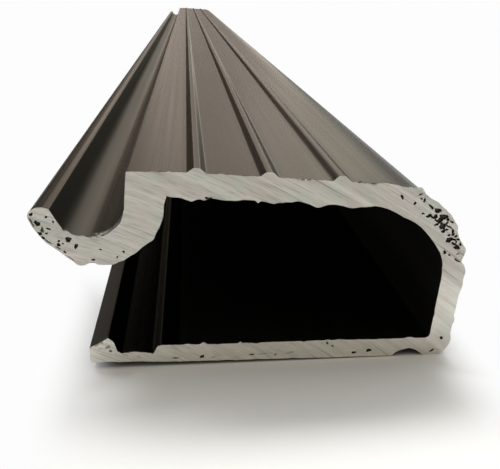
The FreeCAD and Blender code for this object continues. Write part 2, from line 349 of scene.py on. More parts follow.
def direction(degrees: float) -> Floats:
    """The unit vector at an angle from +X towards +Z."""
    return np.array([math.cos(math.radians(degrees)), math.sin(math.radians(degrees))])


def meet(first: Floats, first_reach: float, second: Floats, second_reach: float) -> Floats:
    """The point that lies at the given reach along each of two directions."""
    return np.linalg.solve(np.array([first, second]), np.array([first_reach, second_reach]))


@dataclass(frozen=True)
class SectionSizes:
    """Driving sizes of the section in millimetres and degrees, as in the bar's CAD source."""

    overall_width: float = 38.1
    tread_height: float = 17.3
    land_width: float = 4.85
    land_fall: float = 2.0
    ramp_fall: float = 4.35
    web_thickness: float = 2.1
    nose_radius: float = 7.25
    nose_bore_radius: float = 6.35
    wall_thickness: float = 1.8
    wall_lean: float = 8.7
    heel_radius: float = 1.3
    heel_bore_radius: float = 0.5
    flange_thickness: float = 1.6
    flange_setback: float = 4.75
    toe_radius: float = 0.4
    toe_height: float = 1.5
    bead_height: float = 2.3
    bead_run: float = 1.7
    bead_foot: float = 2.8
    channel_width: float = 2.85
    channel_floor: float = 0.9
    channel_slope: float = 45.0
    lip_thickness: float = 1.9
    lip_lean: float = 31.0
    lip_height: float = 14.3
    lip_crown: float = 0.16
    tip_radius: float = 0.7
    groove_radius: float = 3.1
    groove_height: float = 14.5
    hook_radius: float = 5.93
    hook_floor: float = 2.33
    rib_count: int = 3
    rib_pitch: float = 6.35
    rib_start: float = 1.25
    rib_width: float = 1.7
    rib_crest: float = 0.55
    rib_height: float = 0.45
    score_width: float = 2.75
    score_depth: float = 0.65
    score_setback: float = 4.8


class OutlinePen:
    """Draws straight runs and round bends as one string of closely spaced points."""

    def __init__(self, step: float) -> None:
        """Start an empty outline.

        Args:
            step: The longest distance between two points.
        """
        self.step = step
        self.points: list[Floats] = []

    def run_to(self, point: Floats) -> None:
        """Draw a straight run from the last point to a new one.

        Args:
            point: Where the run ends.
        """
        if self.points:
            last = self.points[-1]
            count = max(1, math.ceil(float(np.hypot(*(point - last))) / self.step))
            self.points += [last + (point - last) * k / count for k in range(1, count)]
        self.points.append(point)

    def bend(self, centre: Floats, radius: float, start: float, end: float) -> None:
        """Draw a straight run to a round, and then the round.

        Args:
            centre: The round's centre.
            radius: Its radius.
            start: The angle where it starts, in degrees from +X towards +Z.
            end: The angle where it ends, which may be the smaller one.
        """
        count = max(2, math.ceil(abs(math.radians(end - start)) * radius / self.step))
        self.run_to(centre + radius * direction(start))
        for k in range(1, count + 1):
            self.points.append(centre + radius * direction(start + (end - start) * k / count))

    def close(self) -> Floats:
        """Draw the last straight run and give the closed outline's points."""
        self.run_to(self.points[0])
        return np.array(self.points[:-1])


class BarSection:
    """The extrusion's outline, drawn anticlockwise with the nose to the right."""

    def __init__(self, sizes: SectionSizes) -> None:
        """Keep the sizes that drive the outline.

        Args:
            sizes: The driving sizes.
        """
        self.sizes = sizes

    def draw(self, step: float) -> Floats:
        """Draw the outline from its driving sizes.

        Args:
            step: The longest distance between two points.

        Returns:
            The closed outline's points.
        """
        s = self.sizes
        level = direction(90)
        along_ramp = direction(-s.ramp_fall)
        above_ramp = direction(90 - s.ramp_fall)
        wall_front = direction(-s.wall_lean)
        lip_back = direction(s.lip_lean)
        half_width = s.overall_width / 2

        # The hook, and the wall that rises from its groove to the corner of the tread.
        tip = np.array([-half_width + s.tip_radius, s.lip_height - s.tip_radius])
        lip_outside = float(tip @ lip_back) - s.tip_radius
        lip_inside = lip_outside + s.lip_thickness
        lip_top = meet(lip_back, lip_inside, level, s.lip_height - s.lip_crown)
        lip_middle = np.array([(tip[0] + lip_top[0]) / 2, s.lip_height])
        groove = meet(lip_back, lip_inside + s.groove_radius, level, s.groove_height)
        wall_left = float(groove @ along_ramp) + s.groove_radius
        tread_corner = meet(along_ramp, wall_left, level, s.tread_height)
        hook_height = s.groove_height - s.groove_radius - s.hook_floor + s.hook_radius
        hook = meet(lip_back, lip_outside + s.hook_radius, level, hook_height)

        # The tread, its round nose and the wall under it.
        land_drop = s.land_width * math.tan(math.radians(s.land_fall))
        ramp_top = tread_corner + np.array([s.land_width, -land_drop])
        ramp_level = float(ramp_top @ above_ramp)
        web_level = ramp_level - s.web_thickness
        hook_rise = web_level - float(hook @ above_ramp)
        hook_reach = math.sqrt(s.hook_radius**2 - hook_rise**2)
        hook_end = 360 - s.ramp_fall + math.degrees(math.atan2(hook_rise, hook_reach))
        nose = meet(
            direction(0), half_width - s.nose_radius, above_ramp, ramp_level - s.nose_radius)
        wall_outside = float(nose @ wall_front) + s.nose_radius
        wall_inside = wall_outside - s.wall_thickness
        nose_bore = meet(
            wall_front, wall_inside - s.nose_bore_radius,
            above_ramp, web_level - s.nose_bore_radius)

        # The flange, with the bead and the channel at its free edge.
        heel = meet(wall_front, wall_outside - s.heel_radius, level, s.heel_radius)
        heel_bore = meet(
            wall_front, wall_inside - s.heel_bore_radius,
            level, s.flange_thickness + s.heel_bore_radius)
        toe_x = -half_width + s.flange_setback
        bead_foot_x = toe_x + s.bead_foot
        channel_end_x = bead_foot_x + s.channel_width
        slope_run = (s.flange_thickness - s.channel_floor) / math.tan(math.radians(s.channel_slope))

        score_radius = ((s.score_width / 2) ** 2 + s.score_depth**2) / (2 * s.score_depth)
        score = np.array([half_width - s.score_setback, s.score_depth - score_radius])
        score_half = math.degrees(math.asin(s.score_width / 2 / score_radius))

        ramp_square = 90 - s.ramp_fall
        lip_square = 180 + s.lip_lean
        pen = OutlinePen(step)
        pen.bend(heel, s.heel_radius, -90, -s.wall_lean)
        pen.bend(nose, s.nose_radius, -s.wall_lean, ramp_square)
        for k in reversed(range(s.rib_count)):
            rib_middle = ramp_top + along_ramp * (s.rib_start + k * s.rib_pitch)
            for along, above in self._rib_corners():
                pen.run_to(rib_middle + along_ramp * along + above_ramp * above)
        pen.run_to(ramp_top)
        pen.run_to(tread_corner)
        pen.bend(groove, s.groove_radius, 360 - s.ramp_fall, lip_square)
        pen.run_to(lip_top)
        pen.run_to(lip_middle)
        pen.bend(tip, s.tip_radius, 90, lip_square)
        pen.bend(hook, s.hook_radius, lip_square, hook_end)
        pen.bend(nose_bore, s.nose_bore_radius, ramp_square, -s.wall_lean)
        pen.bend(heel_bore, s.heel_bore_radius, -s.wall_lean, -90)
        pen.run_to(np.array([channel_end_x + slope_run, s.flange_thickness]))
        pen.run_to(np.array([channel_end_x, s.channel_floor]))
        pen.run_to(np.array([bead_foot_x, s.channel_floor]))
        pen.run_to(np.array([toe_x + s.bead_run, s.bead_height]))
        pen.run_to(np.array([toe_x, s.toe_height]))
        pen.bend(np.array([toe_x + s.toe_radius, s.toe_radius]), s.toe_radius, 180, 270)
        pen.bend(score, score_radius, 90 + score_half, 90 - score_half)
        return pen.close()

    def _rib_corners(self) -> list[tuple[float, float]]:
        """A rib's corners along and above the ramp, from its right foot to its left foot."""
        foot, crest, top = self.sizes.rib_width / 2, self.sizes.rib_crest / 2, self.sizes.rib_height
        return [(foot, 0.0), (crest, top), (-crest, top), (-foot, 0.0)]


@dataclass(frozen=True)
class EdgeLump:
    """A burr that the saw left on the outline, or with a negative height a dent. In millimetres."""

    x: float
    z: float
    height: float
    width: float


@dataclass(frozen=True)
class OutlineFinish:
    """How the drawn outline becomes the string of points that is swept. Sizes in millimetres."""

    drawing_step: float = 0.02
    softness: float = 0.06
    softened_reach: float = 3.0
    points_per_mm: float = 7.0
    points_per_radian: float = 2.0

    def finish(self, drawn: Floats) -> Floats:
        """Soften the outline's corners and thin its points out.

        Args:
            drawn: A closed outline with closely spaced points.

        Returns:
            The outline with points as close as its bends need.
        """
        return self._thin(self._soften(self._even(drawn)))

    def _even(self, points: Floats) -> Floats:
        """Respace a closed outline's points evenly.

        Args:
            points: The closed outline.

        Returns:
            The same outline, with a point at every drawing step.
        """
        closed = np.vstack([points, points[:1]])
        along = np.concatenate([[0.0], np.cumsum(np.hypot(*np.diff(closed, axis=0).T))])
        marks = np.linspace(0, along[-1], round(along[-1] / self.drawing_step), endpoint=False)
        return np.stack([np.interp(marks, along, closed[:, k]) for k in (0, 1)], axis=1)

    def _soften(self, points: Floats) -> Floats:
        """Round the corners with a bell-shaped mean of each point's neighbours.

        Args:
            points: A closed outline with evenly spaced points.

        Returns:
            The softened outline.
        """
        reach = math.ceil(self.softened_reach * self.softness / self.drawing_step)
        offsets = np.arange(-reach, reach + 1)
        weights = np.exp(-0.5 * (offsets * self.drawing_step / self.softness) ** 2)
        shares = weights / weights.sum()
        moved = [share * np.roll(points, k, axis=0) for share, k in zip(shares, offsets)]
        return np.sum(moved, axis=0)

    def _thin(self, points: Floats) -> Floats:
        """Keep points evenly along straight runs, and closer together where the outline turns.

        Args:
            points: The softened outline.

        Returns:
            The outline that the bar is swept from.
        """
        ahead = np.roll(points, -1, axis=0) - points
        heading = np.unwrap(np.arctan2(ahead[:, 1], ahead[:, 0]))
        turn = np.abs(np.diff(heading, append=heading[0] + 2 * math.pi))
        share = np.hypot(*ahead.T) * self.points_per_mm + turn * self.points_per_radian
        along = np.concatenate([[0.0], np.cumsum(share)])
        marks = np.linspace(0, along[-1], int(along[-1]), endpoint=False)
        closed = np.vstack([points, points[:1]])
        return np.stack([np.interp(marks, along, closed[:, k]) for k in (0, 1)], axis=1)


def outward(points: Floats) -> Floats:
    """The outward unit normals of an outline.

    Args:
        points: A closed outline that runs anticlockwise.

    Returns:
        One normal for each point.
    """
    ahead = np.roll(points, -1, axis=0) - np.roll(points, 1, axis=0)
    ahead /= np.hypot(*ahead.T)[:, None]
    return np.stack([ahead[:, 1], -ahead[:, 0]], axis=1)


@dataclass(frozen=True)
class RaggedEdge:
    """Small random tears all along a sawn outline. Sizes in millimetres."""

    spacing: float = 0.9
    height: float = 0.035
    width: Range = (0.12, 0.35)
    seed: int = 11

    def lumps(self, points: Floats) -> list[EdgeLump]:
        """Strew tears over an outline's points.

        Args:
            points: The closed outline.

        Returns:
            The tears.
        """
        generator = np.random.default_rng(self.seed)
        length = float(np.hypot(*(np.roll(points, -1, axis=0) - points).T).sum())
        count = round(length / self.spacing)
        places = points[generator.integers(len(points), size=count)]
        heights = generator.normal(0.0, self.height, count)
        widths = generator.uniform(*self.width, count)
        rows = np.column_stack([places, heights, widths])
        return [EdgeLump(*row) for row in rows.tolist()]


def burr_heights(points: Floats, lumps: Sequence[EdgeLump]) -> Floats:
    """How far the burrs push each point of an outline outwards.

    Args:
        points: The closed outline.
        lumps: The burrs and dents on it.

    Returns:
        One height for each point.
    """
    runs = np.hypot(*(np.roll(points, -1, axis=0) - points).T)
    total = float(runs.sum())
    along = np.cumsum(runs) - runs
    heights = np.zeros(len(points))
    for lump in lumps:
        nearest = int(np.argmin(np.hypot(points[:, 0] - lump.x, points[:, 1] - lump.z)))
        away = np.abs(along - along[nearest])
        away = np.minimum(away, total - away)
        heights += lump.height * np.exp(-((away / lump.width) ** 2))
    return heights


# --------------------------------------------------------------------------------------------------
# The sawn ends


@dataclass(frozen=True)
class Pore:
    """An open pore in a sawn face: its middle and size in millimetres, its turn in degrees.

    Its depth is a share of the deepest pore's.
    """

    x: float
    z: float
    width: float
    height: float
    turn: float = 0.0
    depth: float = 1.0


@dataclass(frozen=True)
class SawBlade:
    """The round blade that cut the ends: its centre in the section, and its teeth's marks."""

    x: float = -45.0
    z: float = -75.0
    mark_spacing: float = 0.9
    mark_depth: float = 0.008
    fine_spacing: float = 0.3
    fine_depth: float = 0.004


class CutSide(Enum):
    """The two sawn ends, by the direction in which they face along Y."""

    NEAR = -1
    FAR = 1


@dataclass
class CutFace:
    """A sawn end, as a flat triangulated face whose points carry the depth of its pores.

    Its points keep a share of their spacing clear of the ring. The finer ones fill each pore's
    outline out to pore_reach, and a pore's wall takes up pore_wall of the way from its rim to its
    middle. Lobes, each a count and a size, make the rims uneven.
    """

    side: CutSide
    ring: Floats
    pores: Sequence[Pore]
    grid: float
    pore_grid: float
    seed: int
    ring_clearance: float = 0.55
    rim_steps: int = 4
    merge_distance: float = 1e-6
    pore_reach: float = -0.45
    pore_wall: float = 0.3
    lobes: tuple[tuple[int, float], ...] = ((2, 0.16), (3, 0.13), (5, 0.09), (7, 0.06))
    _phases: Floats = field(init=False)

    def __post_init__(self) -> None:
        """Draw the random turns of each pore's lobes."""
        generator = np.random.default_rng(self.seed)
        self._phases = generator.uniform(0, 2 * math.pi, (max(1, len(self.pores)), len(self.lobes)))

    def make(self, name: str, cut_y: float) -> bpy.types.Object:
        """Triangulate the face.

        Args:
            name: The object's name.
            cut_y: Where the cut stands along the bar, in metres.

        Returns:
            An object whose mesh has the point attribute "pore".
        """
        points = [Vector(point) for point in np.vstack([self.ring, self._inner_points()])]
        outline = [list(range(len(self.ring)))]
        inside_only = 1
        flat, _, triangles, *_ = delaunay_2d_cdt(
            points, [], outline, inside_only, self.merge_distance)
        flat_points = np.array(flat)
        placed = [(x * MM, cut_y, z * MM) for x, z in flat_points]
        faces = triangles if self.side is CutSide.NEAR else [face[::-1] for face in triangles]
        mesh = bpy.data.meshes.new(name)
        mesh.from_pydata(placed, [], faces)
        depth = mesh.attributes.new("pore", "FLOAT", "POINT")
        depth.data.foreach_set("value", self._pore_depths(flat_points).astype(np.float32))
        return put_in_scene(name, mesh)

    def _inner_points(self) -> Floats:
        """Fill the ring with lattice points, finer round the pores.

        Returns:
            The points inside the ring.
        """
        low, high = self.ring.min(axis=0), self.ring.max(axis=0)
        coarse = self._inside(self._lattice(low, high, self.grid), self.grid)
        if not self.pores:
            return coarse
        coarse = coarse[self._pore_field(coarse).max(axis=1) < self.pore_reach]
        patches = []
        for pore in self.pores:
            middle = np.array([pore.x, pore.z])
            reach = max(pore.width, pore.height)
            patches.append(self._lattice(middle - reach, middle + reach, self.pore_grid))
        fine = np.unique(np.round(np.vstack(patches), decimals=6), axis=0)
        fine = self._inside(fine, self.pore_grid)
        fine = fine[self._pore_field(fine).max(axis=1) >= self.pore_reach]
        return np.vstack([coarse, fine])

    def _lattice(self, low: Floats, high: Floats, spacing: float) -> Floats:
        """Fill a box with a triangular lattice, always at the same places for the same spacing.

        Args:
            low: The box's lower left corner.
            high: Its upper right corner.
            spacing: The distance between neighbours.

        Returns:
            The lattice's points.
        """
        row_height = spacing * math.sqrt(0.75)
        rows = np.arange(math.floor(low[1] / row_height), math.ceil(high[1] / row_height) + 1)
        columns = np.arange(math.floor(low[0] / spacing), math.ceil(high[0] / spacing) + 1)
        column, row = np.meshgrid(columns, rows)
        places = np.stack([(column + 0.5 * (row % 2)) * spacing, row * row_height], axis=-1)
        return places.reshape(-1, 2)

    def _inside(self, points: Floats, spacing: float) -> Floats:
        """Pick the points that lie inside the ring and clear of it.

        Args:
            points: The points to pick from.
            spacing: The distance between them.

        Returns:
            The points that are kept.
        """
        crossings = np.zeros(len(points), bool)
        for (x, z), (next_x, next_z) in zip(self.ring, np.roll(self.ring, -1, axis=0)):
            if z != next_z:
                spans = (z > points[:, 1]) != (next_z > points[:, 1])
                edge_x = x + (next_x - x) * (points[:, 1] - z) / (next_z - z)
                crossings ^= spans & (points[:, 0] < edge_x)
        within = points[crossings]
        ahead = np.roll(self.ring, -1, axis=0) - self.ring
        rim = np.vstack([self.ring + ahead * k / self.rim_steps for k in range(self.rim_steps)])
        tree = KDTree(len(rim))
        for index, (x, z) in enumerate(rim):
            tree.insert((x, z, 0.0), index)
        tree.balance()
        clear = [tree.find((x, z, 0.0))[2] > self.ring_clearance * spacing for x, z in within]
        return within[np.array(clear, bool)]

    def _pore_field(self, points: Floats) -> Floats:
        """How deep inside each pore's outline the points lie.

        Args:
            points: Places on the face.

        Returns:
            A row for each point and a column for each pore: 1 in its middle, 0 on its rim, and
            less outside.
        """
        columns = []
        for pore, phases in zip(self.pores, self._phases):
            turn = math.radians(pore.turn)
            away = points - np.array([pore.x, pore.z])
            across = (away[:, 0] * math.cos(turn) + away[:, 1] * math.sin(turn)) / (pore.width / 2)
            up = (away[:, 1] * math.cos(turn) - away[:, 0] * math.sin(turn)) / (pore.height / 2)
            angle = np.arctan2(up, across)
            lobes = zip(self.lobes, phases)
            swell = sum(size * np.cos(count * angle + phase) for (count, size), phase in lobes)
            columns.append(1 - np.hypot(across, up) / (1 + swell))
        return np.stack(columns, axis=1)

    def _pore_depths(self, points: Floats) -> Floats:
        """The depth of the deepest pore at each point.

        Args:
            points: Places on the face.

        Returns:
            Depths, from 0 on the plain face to 1.
        """
        if not self.pores:
            return np.zeros(len(points))
        share = np.clip(self._pore_field(points) / self.pore_wall, 0, 1)
        depths = np.array([pore.depth for pore in self.pores])
        return (share * share * (3 - 2 * share) * depths).max(axis=1)


# --------------------------------------------------------------------------------------------------
# Finishes


class Finish:
    """A material that is built of nodes."""

    name = "finish"

    def make(self) -> bpy.types.Material:
        """Build the material.

        Returns:
            The new material, with the Object coordinates of the piece behind its patterns.
        """
        material = bpy.data.materials.new(self.name)
        material.use_nodes = True
        material.node_tree.nodes.clear()
        board = NodeBoard(material.node_tree)
        place = board.add("ShaderNodeTexCoord").outputs["Object"]
        shader = self.dress(board, place)
        board.add("ShaderNodeOutputMaterial", {"Surface": shader})
        return material

    def dress(self, board: NodeBoard, place: Socket) -> Socket:
        """Add the finish's own nodes and give its shader."""
        raise NotImplementedError


@dataclass(frozen=True)
class AnodisedBronze(Finish):
    """Satin bronze anodising over die lines that run the length of the bar.

    A range runs from where something sets in to where it is full, in metres along its axis or in
    the value of its pattern.
    """

    name = "bronze_anodised_skin"
    near_end: float
    dark: Colour = (0.0396, 0.0385, 0.035)
    light: Colour = (0.0567, 0.055, 0.0495)
    grazing_tint: Colour = (0.552, 0.542, 0.515)
    streaks: Grain = Grain(1400.0, 3.0, (1.0, 0.004, 1.0))
    die_lines: Grain = Grain(7000.0, 2.0, (1.0, 0.002, 1.0))
    patches: Grain = Grain(60.0, 3.0, (1.0, 0.25, 1.0))
    streak_tone: float = 0.6
    patch_tone: float = 0.4
    tone_rise: Range = (0.35, 0.65)
    low_roughness: float = 0.24
    high_roughness: float = 0.30
    line_roughness: float = 0.3
    roughness_rise: Range = (0.45, 0.85)
    streak_relief: float = 2.0
    relief_strength: float = 0.12
    relief_depth: float = 2e-5
    groove_roughness: float = 0.34
    groove_start: Range = (-0.0174, -0.0171)
    groove_end: Range = (-0.0147, -0.0135)
    hollow_roughness: float = 0.65
    hollow_painted_shade: float = 0.4
    hollow_start: Range = (-0.0066, -0.0058)
    hollow_low: Range = (0.0006, 0.0012)
    hollow_high: Range = (0.0152, 0.0154)
    hollow_corner: Range = (0.0276, 0.0284)
    scuffed: Colour = (0.25, 0.24, 0.22)
    scuff_roughness: float = 0.5
    scuff_x: float = -0.0122
    scuff_z: float = 0.0121
    scuff_reach: Range = (0.0013, 0.0021)
    scuff_length: Range = (0.0012, 0.0030)
    flecks: Grain = Grain(3200.0, 3.0, (1.0, 0.5, 1.0))
    fleck_rise: Range = (0.33, 0.58)

    def dress(self, board: NodeBoard, place: Socket) -> Socket:
        """Add the streaked skin.

        Args:
            board: The material's nodes.
            place: Object coordinates, in metres.

        Returns:
            The skin's shader.
        """
        streaks = self.streaks.value(board, place)
        die_lines = self.die_lines.value(board, place)
        patches = self.patches.value(board, place)
        tone = board.plus(
            board.times(streaks, self.streak_tone), board.times(patches, self.patch_tone))
        colour = board.blend(board.ramp(tone, *self.tone_rise), self.dark, self.light)
        lined = board.plus(streaks, board.times(die_lines, self.line_roughness))
        roughness = board.ramp(lined, *self.roughness_rise, self.low_roughness, self.high_roughness)
        x = board.parts(place)[0]
        groove = board.times(board.ramp(x, *self.groove_start), board.fall(x, *self.groove_end))
        hollow = self._hollow(board, place)
        scuff = self._scuff(board, place)
        # Painted shade: the skin's colour is darkened inside the hollow, where shade falls.
        colour = board.blend(hollow, colour, board.scaled(colour, self.hollow_painted_shade))
        colour = board.blend(scuff, colour, self.scuffed)
        for share, dulled in (
            (groove, self.groove_roughness),
            (hollow, self.hollow_roughness),
            (scuff, self.scuff_roughness),
        ):
            roughness = board.ramp(share, 0.0, 1.0, roughness, dulled)
        relief = board.plus(die_lines, board.times(streaks, self.streak_relief))
        normal = board.bumps(relief, self.relief_strength, self.relief_depth)
        feeds = {"Base Color": colour, "Metallic": 1.0, "Roughness": roughness, "Normal": normal,
                 "Specular Tint": opaque(self.grazing_tint)}
        return board.add("ShaderNodeBsdfPrincipled", feeds).outputs[0]

    def _hollow(self, board: NodeBoard, place: Socket) -> Socket:
        """Find where the skin faces the bar's hollow, where the anodising is rougher and its colour
        is darkened with painted shade.

        Args:
            board: The material's nodes.
            place: Object coordinates, in metres.

        Returns:
            The share of the hollow's dull finish and painted shade, from 0 to 1.
        """
        x, _, z = board.parts(place)
        start, low = board.ramp(x, *self.hollow_start), board.ramp(z, *self.hollow_low)
        below = board.times(start, low, board.fall(z, *self.hollow_high))
        return board.times(below, board.fall(board.plus(x, z), *self.hollow_corner))

    def _scuff(self, board: NodeBoard, place: Socket) -> Socket:
        """Find where the saw has rubbed the floor of the groove behind the near cut.

        Args:
            board: The material's nodes.
            place: Object coordinates, in metres.

        Returns:
            The share of bare metal, from 0 to 1.
        """
        x, y, z = board.parts(place)
        off = board.diagonal(board.minus(x, self.scuff_x), board.minus(z, self.scuff_z))
        near = board.fall(off, *self.scuff_reach)
        short = board.fall(board.minus(y, self.near_end), *self.scuff_length)
        flecks = board.ramp(self.flecks.value(board, place), *self.fleck_rise)
        return board.times(near, short, flecks)


@dataclass(frozen=True)
class SawnAluminium(Finish):
    """Bare aluminium with the arcs of one saw blade, and pores whose dark colour is painted shade.

    Bands, scratches and gouges follow the blade's arcs. Each has the range of its pattern's value
    over which it darkens the metal, and the share of the light that it takes away. The metal also
    carries painted light, brighter at the foot, and painted shade, darker towards the top and near
    the heel.
    """

    blade: SawBlade
    name = "sawn_aluminium"
    warm: Colour = (0.74, 0.695, 0.635)
    cool: Colour = (0.71, 0.705, 0.63)
    patches: Grain = Grain(450.0, 3.0)
    patch_rise: Range = (0.35, 0.65)
    arc_pull: float = 0.035
    bands: Grain = Grain(1300.0, 2.0)
    band_rise: Range = (0.35, 0.65)
    band_shade: float = 0.10
    scratches: Grain = Grain(8000.0, 2.0, (1.0, 1.8, 1.0))
    scratch_rise: Range = (0.50, 0.68)
    scratch_shade: float = 0.22
    nose_scratch_shade: float = 0.10
    scratch_fade: Range = (-0.002, 0.012)
    gouges: Grain = Grain(5000.0, 1.0, (1.0, 0.5, 1.0))
    gouge_rise: Range = (0.66, 0.74)
    gouge_shade: float = 0.40
    painted_light_heights: Range = (0.0035, 0.0088)
    foot_painted_light: float = 1.20
    top_painted_shade: float = 0.91
    heel_x: float = 0.0185
    heel_reach: Range = (0.0012, 0.0042)
    heel_painted_shade: float = 0.80
    pore_painted_shade: Colour = (0.022, 0.019, 0.016)
    pore_rise: Range = (0.02, 0.4)
    pore_dullness: float = 0.8
    band_gloss: Range = (0.3, 0.7)
    low_roughness: float = 0.45
    high_roughness: float = 0.55
    patch_relief: float = 0.6
    relief_strength: float = 0.3
    relief_depth: float = 1.5e-5

    def dress(self, board: NodeBoard, place: Socket) -> Socket:
        """Add the sawn face.

        Args:
            board: The material's nodes.
            place: Object coordinates, in metres.

        Returns:
            The face's shader.
        """
        trail = self._trail(board, place)
        bands = self.bands.value(board, trail)
        scratches = self.scratches.value(board, trail)
        gouges = self.gouges.value(board, trail)
        patches = self.patches.value(board, place)
        colour = board.blend(board.ramp(patches, *self.patch_rise), self.warm, self.cool)
        x, _, z = board.parts(place)
        # Painted light and shade: the metal is brighter at the foot and darker towards the top and
        # near the heel.
        painted_light_factor = self._painted_light_and_shade(board, place, z)
        shade = board.ramp(bands, *self.band_rise, painted_light_factor, board.times(painted_light_factor, 1.0 - self.band_shade))
        scratch_shade = board.ramp(
            x, *self.scratch_fade, self.scratch_shade, self.nose_scratch_shade)
        for marks, rise, depth in (
            (scratches, self.scratch_rise, scratch_shade),
            (gouges, self.gouge_rise, self.gouge_shade),
        ):
            shade = board.times(shade, board.ramp(marks, *rise, 1.0, board.minus(1.0, depth)))
        # Painted shade: pores take a dark colour and lose their metal look, for the shade inside
        # them.
        pore = board.add("ShaderNodeAttribute", attribute_name="pore").outputs["Fac"]
        depth = board.ramp(pore, *self.pore_rise)
        colour = board.blend(depth, board.scaled(colour, shade), self.pore_painted_shade)
        metal = board.minus(1.0, board.times(depth, self.pore_dullness))
        roughness = board.ramp(bands, *self.band_gloss, self.low_roughness, self.high_roughness)
        relief = board.plus(scratches, board.times(patches, self.patch_relief))
        normal = board.bumps(relief, self.relief_strength, self.relief_depth)
        feeds = {"Base Color": colour, "Metallic": metal, "Roughness": roughness, "Normal": normal}
        return board.add("ShaderNodeBsdfPrincipled", feeds).outputs[0]

    def _painted_light_and_shade(self, board: NodeBoard, place: Socket, z: Socket) -> Socket:
        """Find the painted light and shade on the metal: brighter at the foot, darker towards the
        top and near the heel.

        Args:
            board: The material's nodes.
            place: Object coordinates, in metres.
            z: The height alone.

        Returns:
            A factor for the metal's colour.
        """
        height_painted_light = board.ramp(z, *self.painted_light_heights, self.foot_painted_light, self.top_painted_shade)
        flat = board.stretch(place, (1, 0, 1))
        from_heel = board.vector_maths("SUBTRACT", flat, (self.heel_x, 0, 0))
        heel_painted_shade_factor = board.ramp(board.length(from_heel), *self.heel_reach, self.heel_painted_shade, 1.0)
        return board.times(height_painted_light, heel_painted_shade_factor)

    def _trail(self, board: NodeBoard, place: Socket) -> Socket:
        """Find coordinates that follow the blade's arcs.

        Args:
            board: The material's nodes.
            place: Object coordinates, in metres.

        Returns:
            The distance from the blade's centre, and a little of the way round it.
        """
        flat = board.stretch(place, (1, 0, 1))
        from_blade = board.vector_maths("SUBTRACT", flat, (self.blade.x * MM, 0, self.blade.z * MM))
        radius = board.length(from_blade)
        x, _, z = board.parts(from_blade)
        arc = board.times(board.maths("ARCTAN2", z, x), radius, self.arc_pull)
        return board.add("ShaderNodeCombineXYZ", {0: radius, 1: arc}).outputs[0]


@dataclass(frozen=True)
class PaleFloor(Finish):
    """A white studio floor that keeps the shadow in front of the bar's sawn end.

    It is matt in front of the cut, between a left and a right edge, and turns plain white around
    that. Each edge runs in metres along X, from where the floor is still matt to where it is white.
    Ahead of the cut, over the length of spill_start, the white spills further in. Behind the cut
    the floor is matt up to shadow_start and white after shadow_fade more.
    """

    near_end: float
    name = "pale_floor"
    colour: Colour = (0.97, 0.97, 0.965)
    white: Colour = (0.98, 0.98, 0.98)
    shadow_start: float = 0.005
    shadow_fade: float = 0.03
    left_edge: Range = (-0.0116, -0.0186)
    right_edge: Range = (0.0162, 0.0212)
    left_spill: Range = (-0.0072, -0.0235)
    right_spill: Range = (0.0146, 0.0208)
    spill_start: Range = (0.0015, 0.007)

    def dress(self, board: NodeBoard, place: Socket) -> Socket:
        """Add the floor.

        Args:
            board: The material's nodes.
            place: Object coordinates, in metres.

        Returns:
            The floor's shader.
        """
        matt = board.add("ShaderNodeBsdfDiffuse", {"Color": opaque(self.colour)}).outputs[0]
        lit = {"Color": opaque(self.white), "Strength": 1.0}
        white = board.add("ShaderNodeEmission", lit).outputs[0]
        rays = board.add("ShaderNodeLightPath").outputs
        seen = board.most(
            rays["Is Camera Ray"], rays["Is Glossy Ray"], rays["Is Transmission Ray"])
        x, y, _ = board.parts(place)
        start = self.near_end + self.shadow_start
        behind = board.ramp(y, start, start + self.shadow_fade)
        edge = self._beside(board, x, self.left_edge, self.right_edge)
        ahead = board.ramp(board.minus(self.near_end, y), *self.spill_start)
        spill = board.times(ahead, self._beside(board, x, self.left_spill, self.right_spill))
        share = board.times(seen, board.most(behind, edge, spill))
        return board.add("ShaderNodeMixShader", {0: share, 1: matt, 2: white}).outputs[0]

    def _beside(self, board: NodeBoard, x: Socket, left: Range, right: Range) -> Socket:
        """How white the floor is left and right of the cut, each between its two places along X."""
        return board.most(board.fall(x, left[1], left[0]), board.ramp(x, *right))


# --------------------------------------------------------------------------------------------------
# The bar

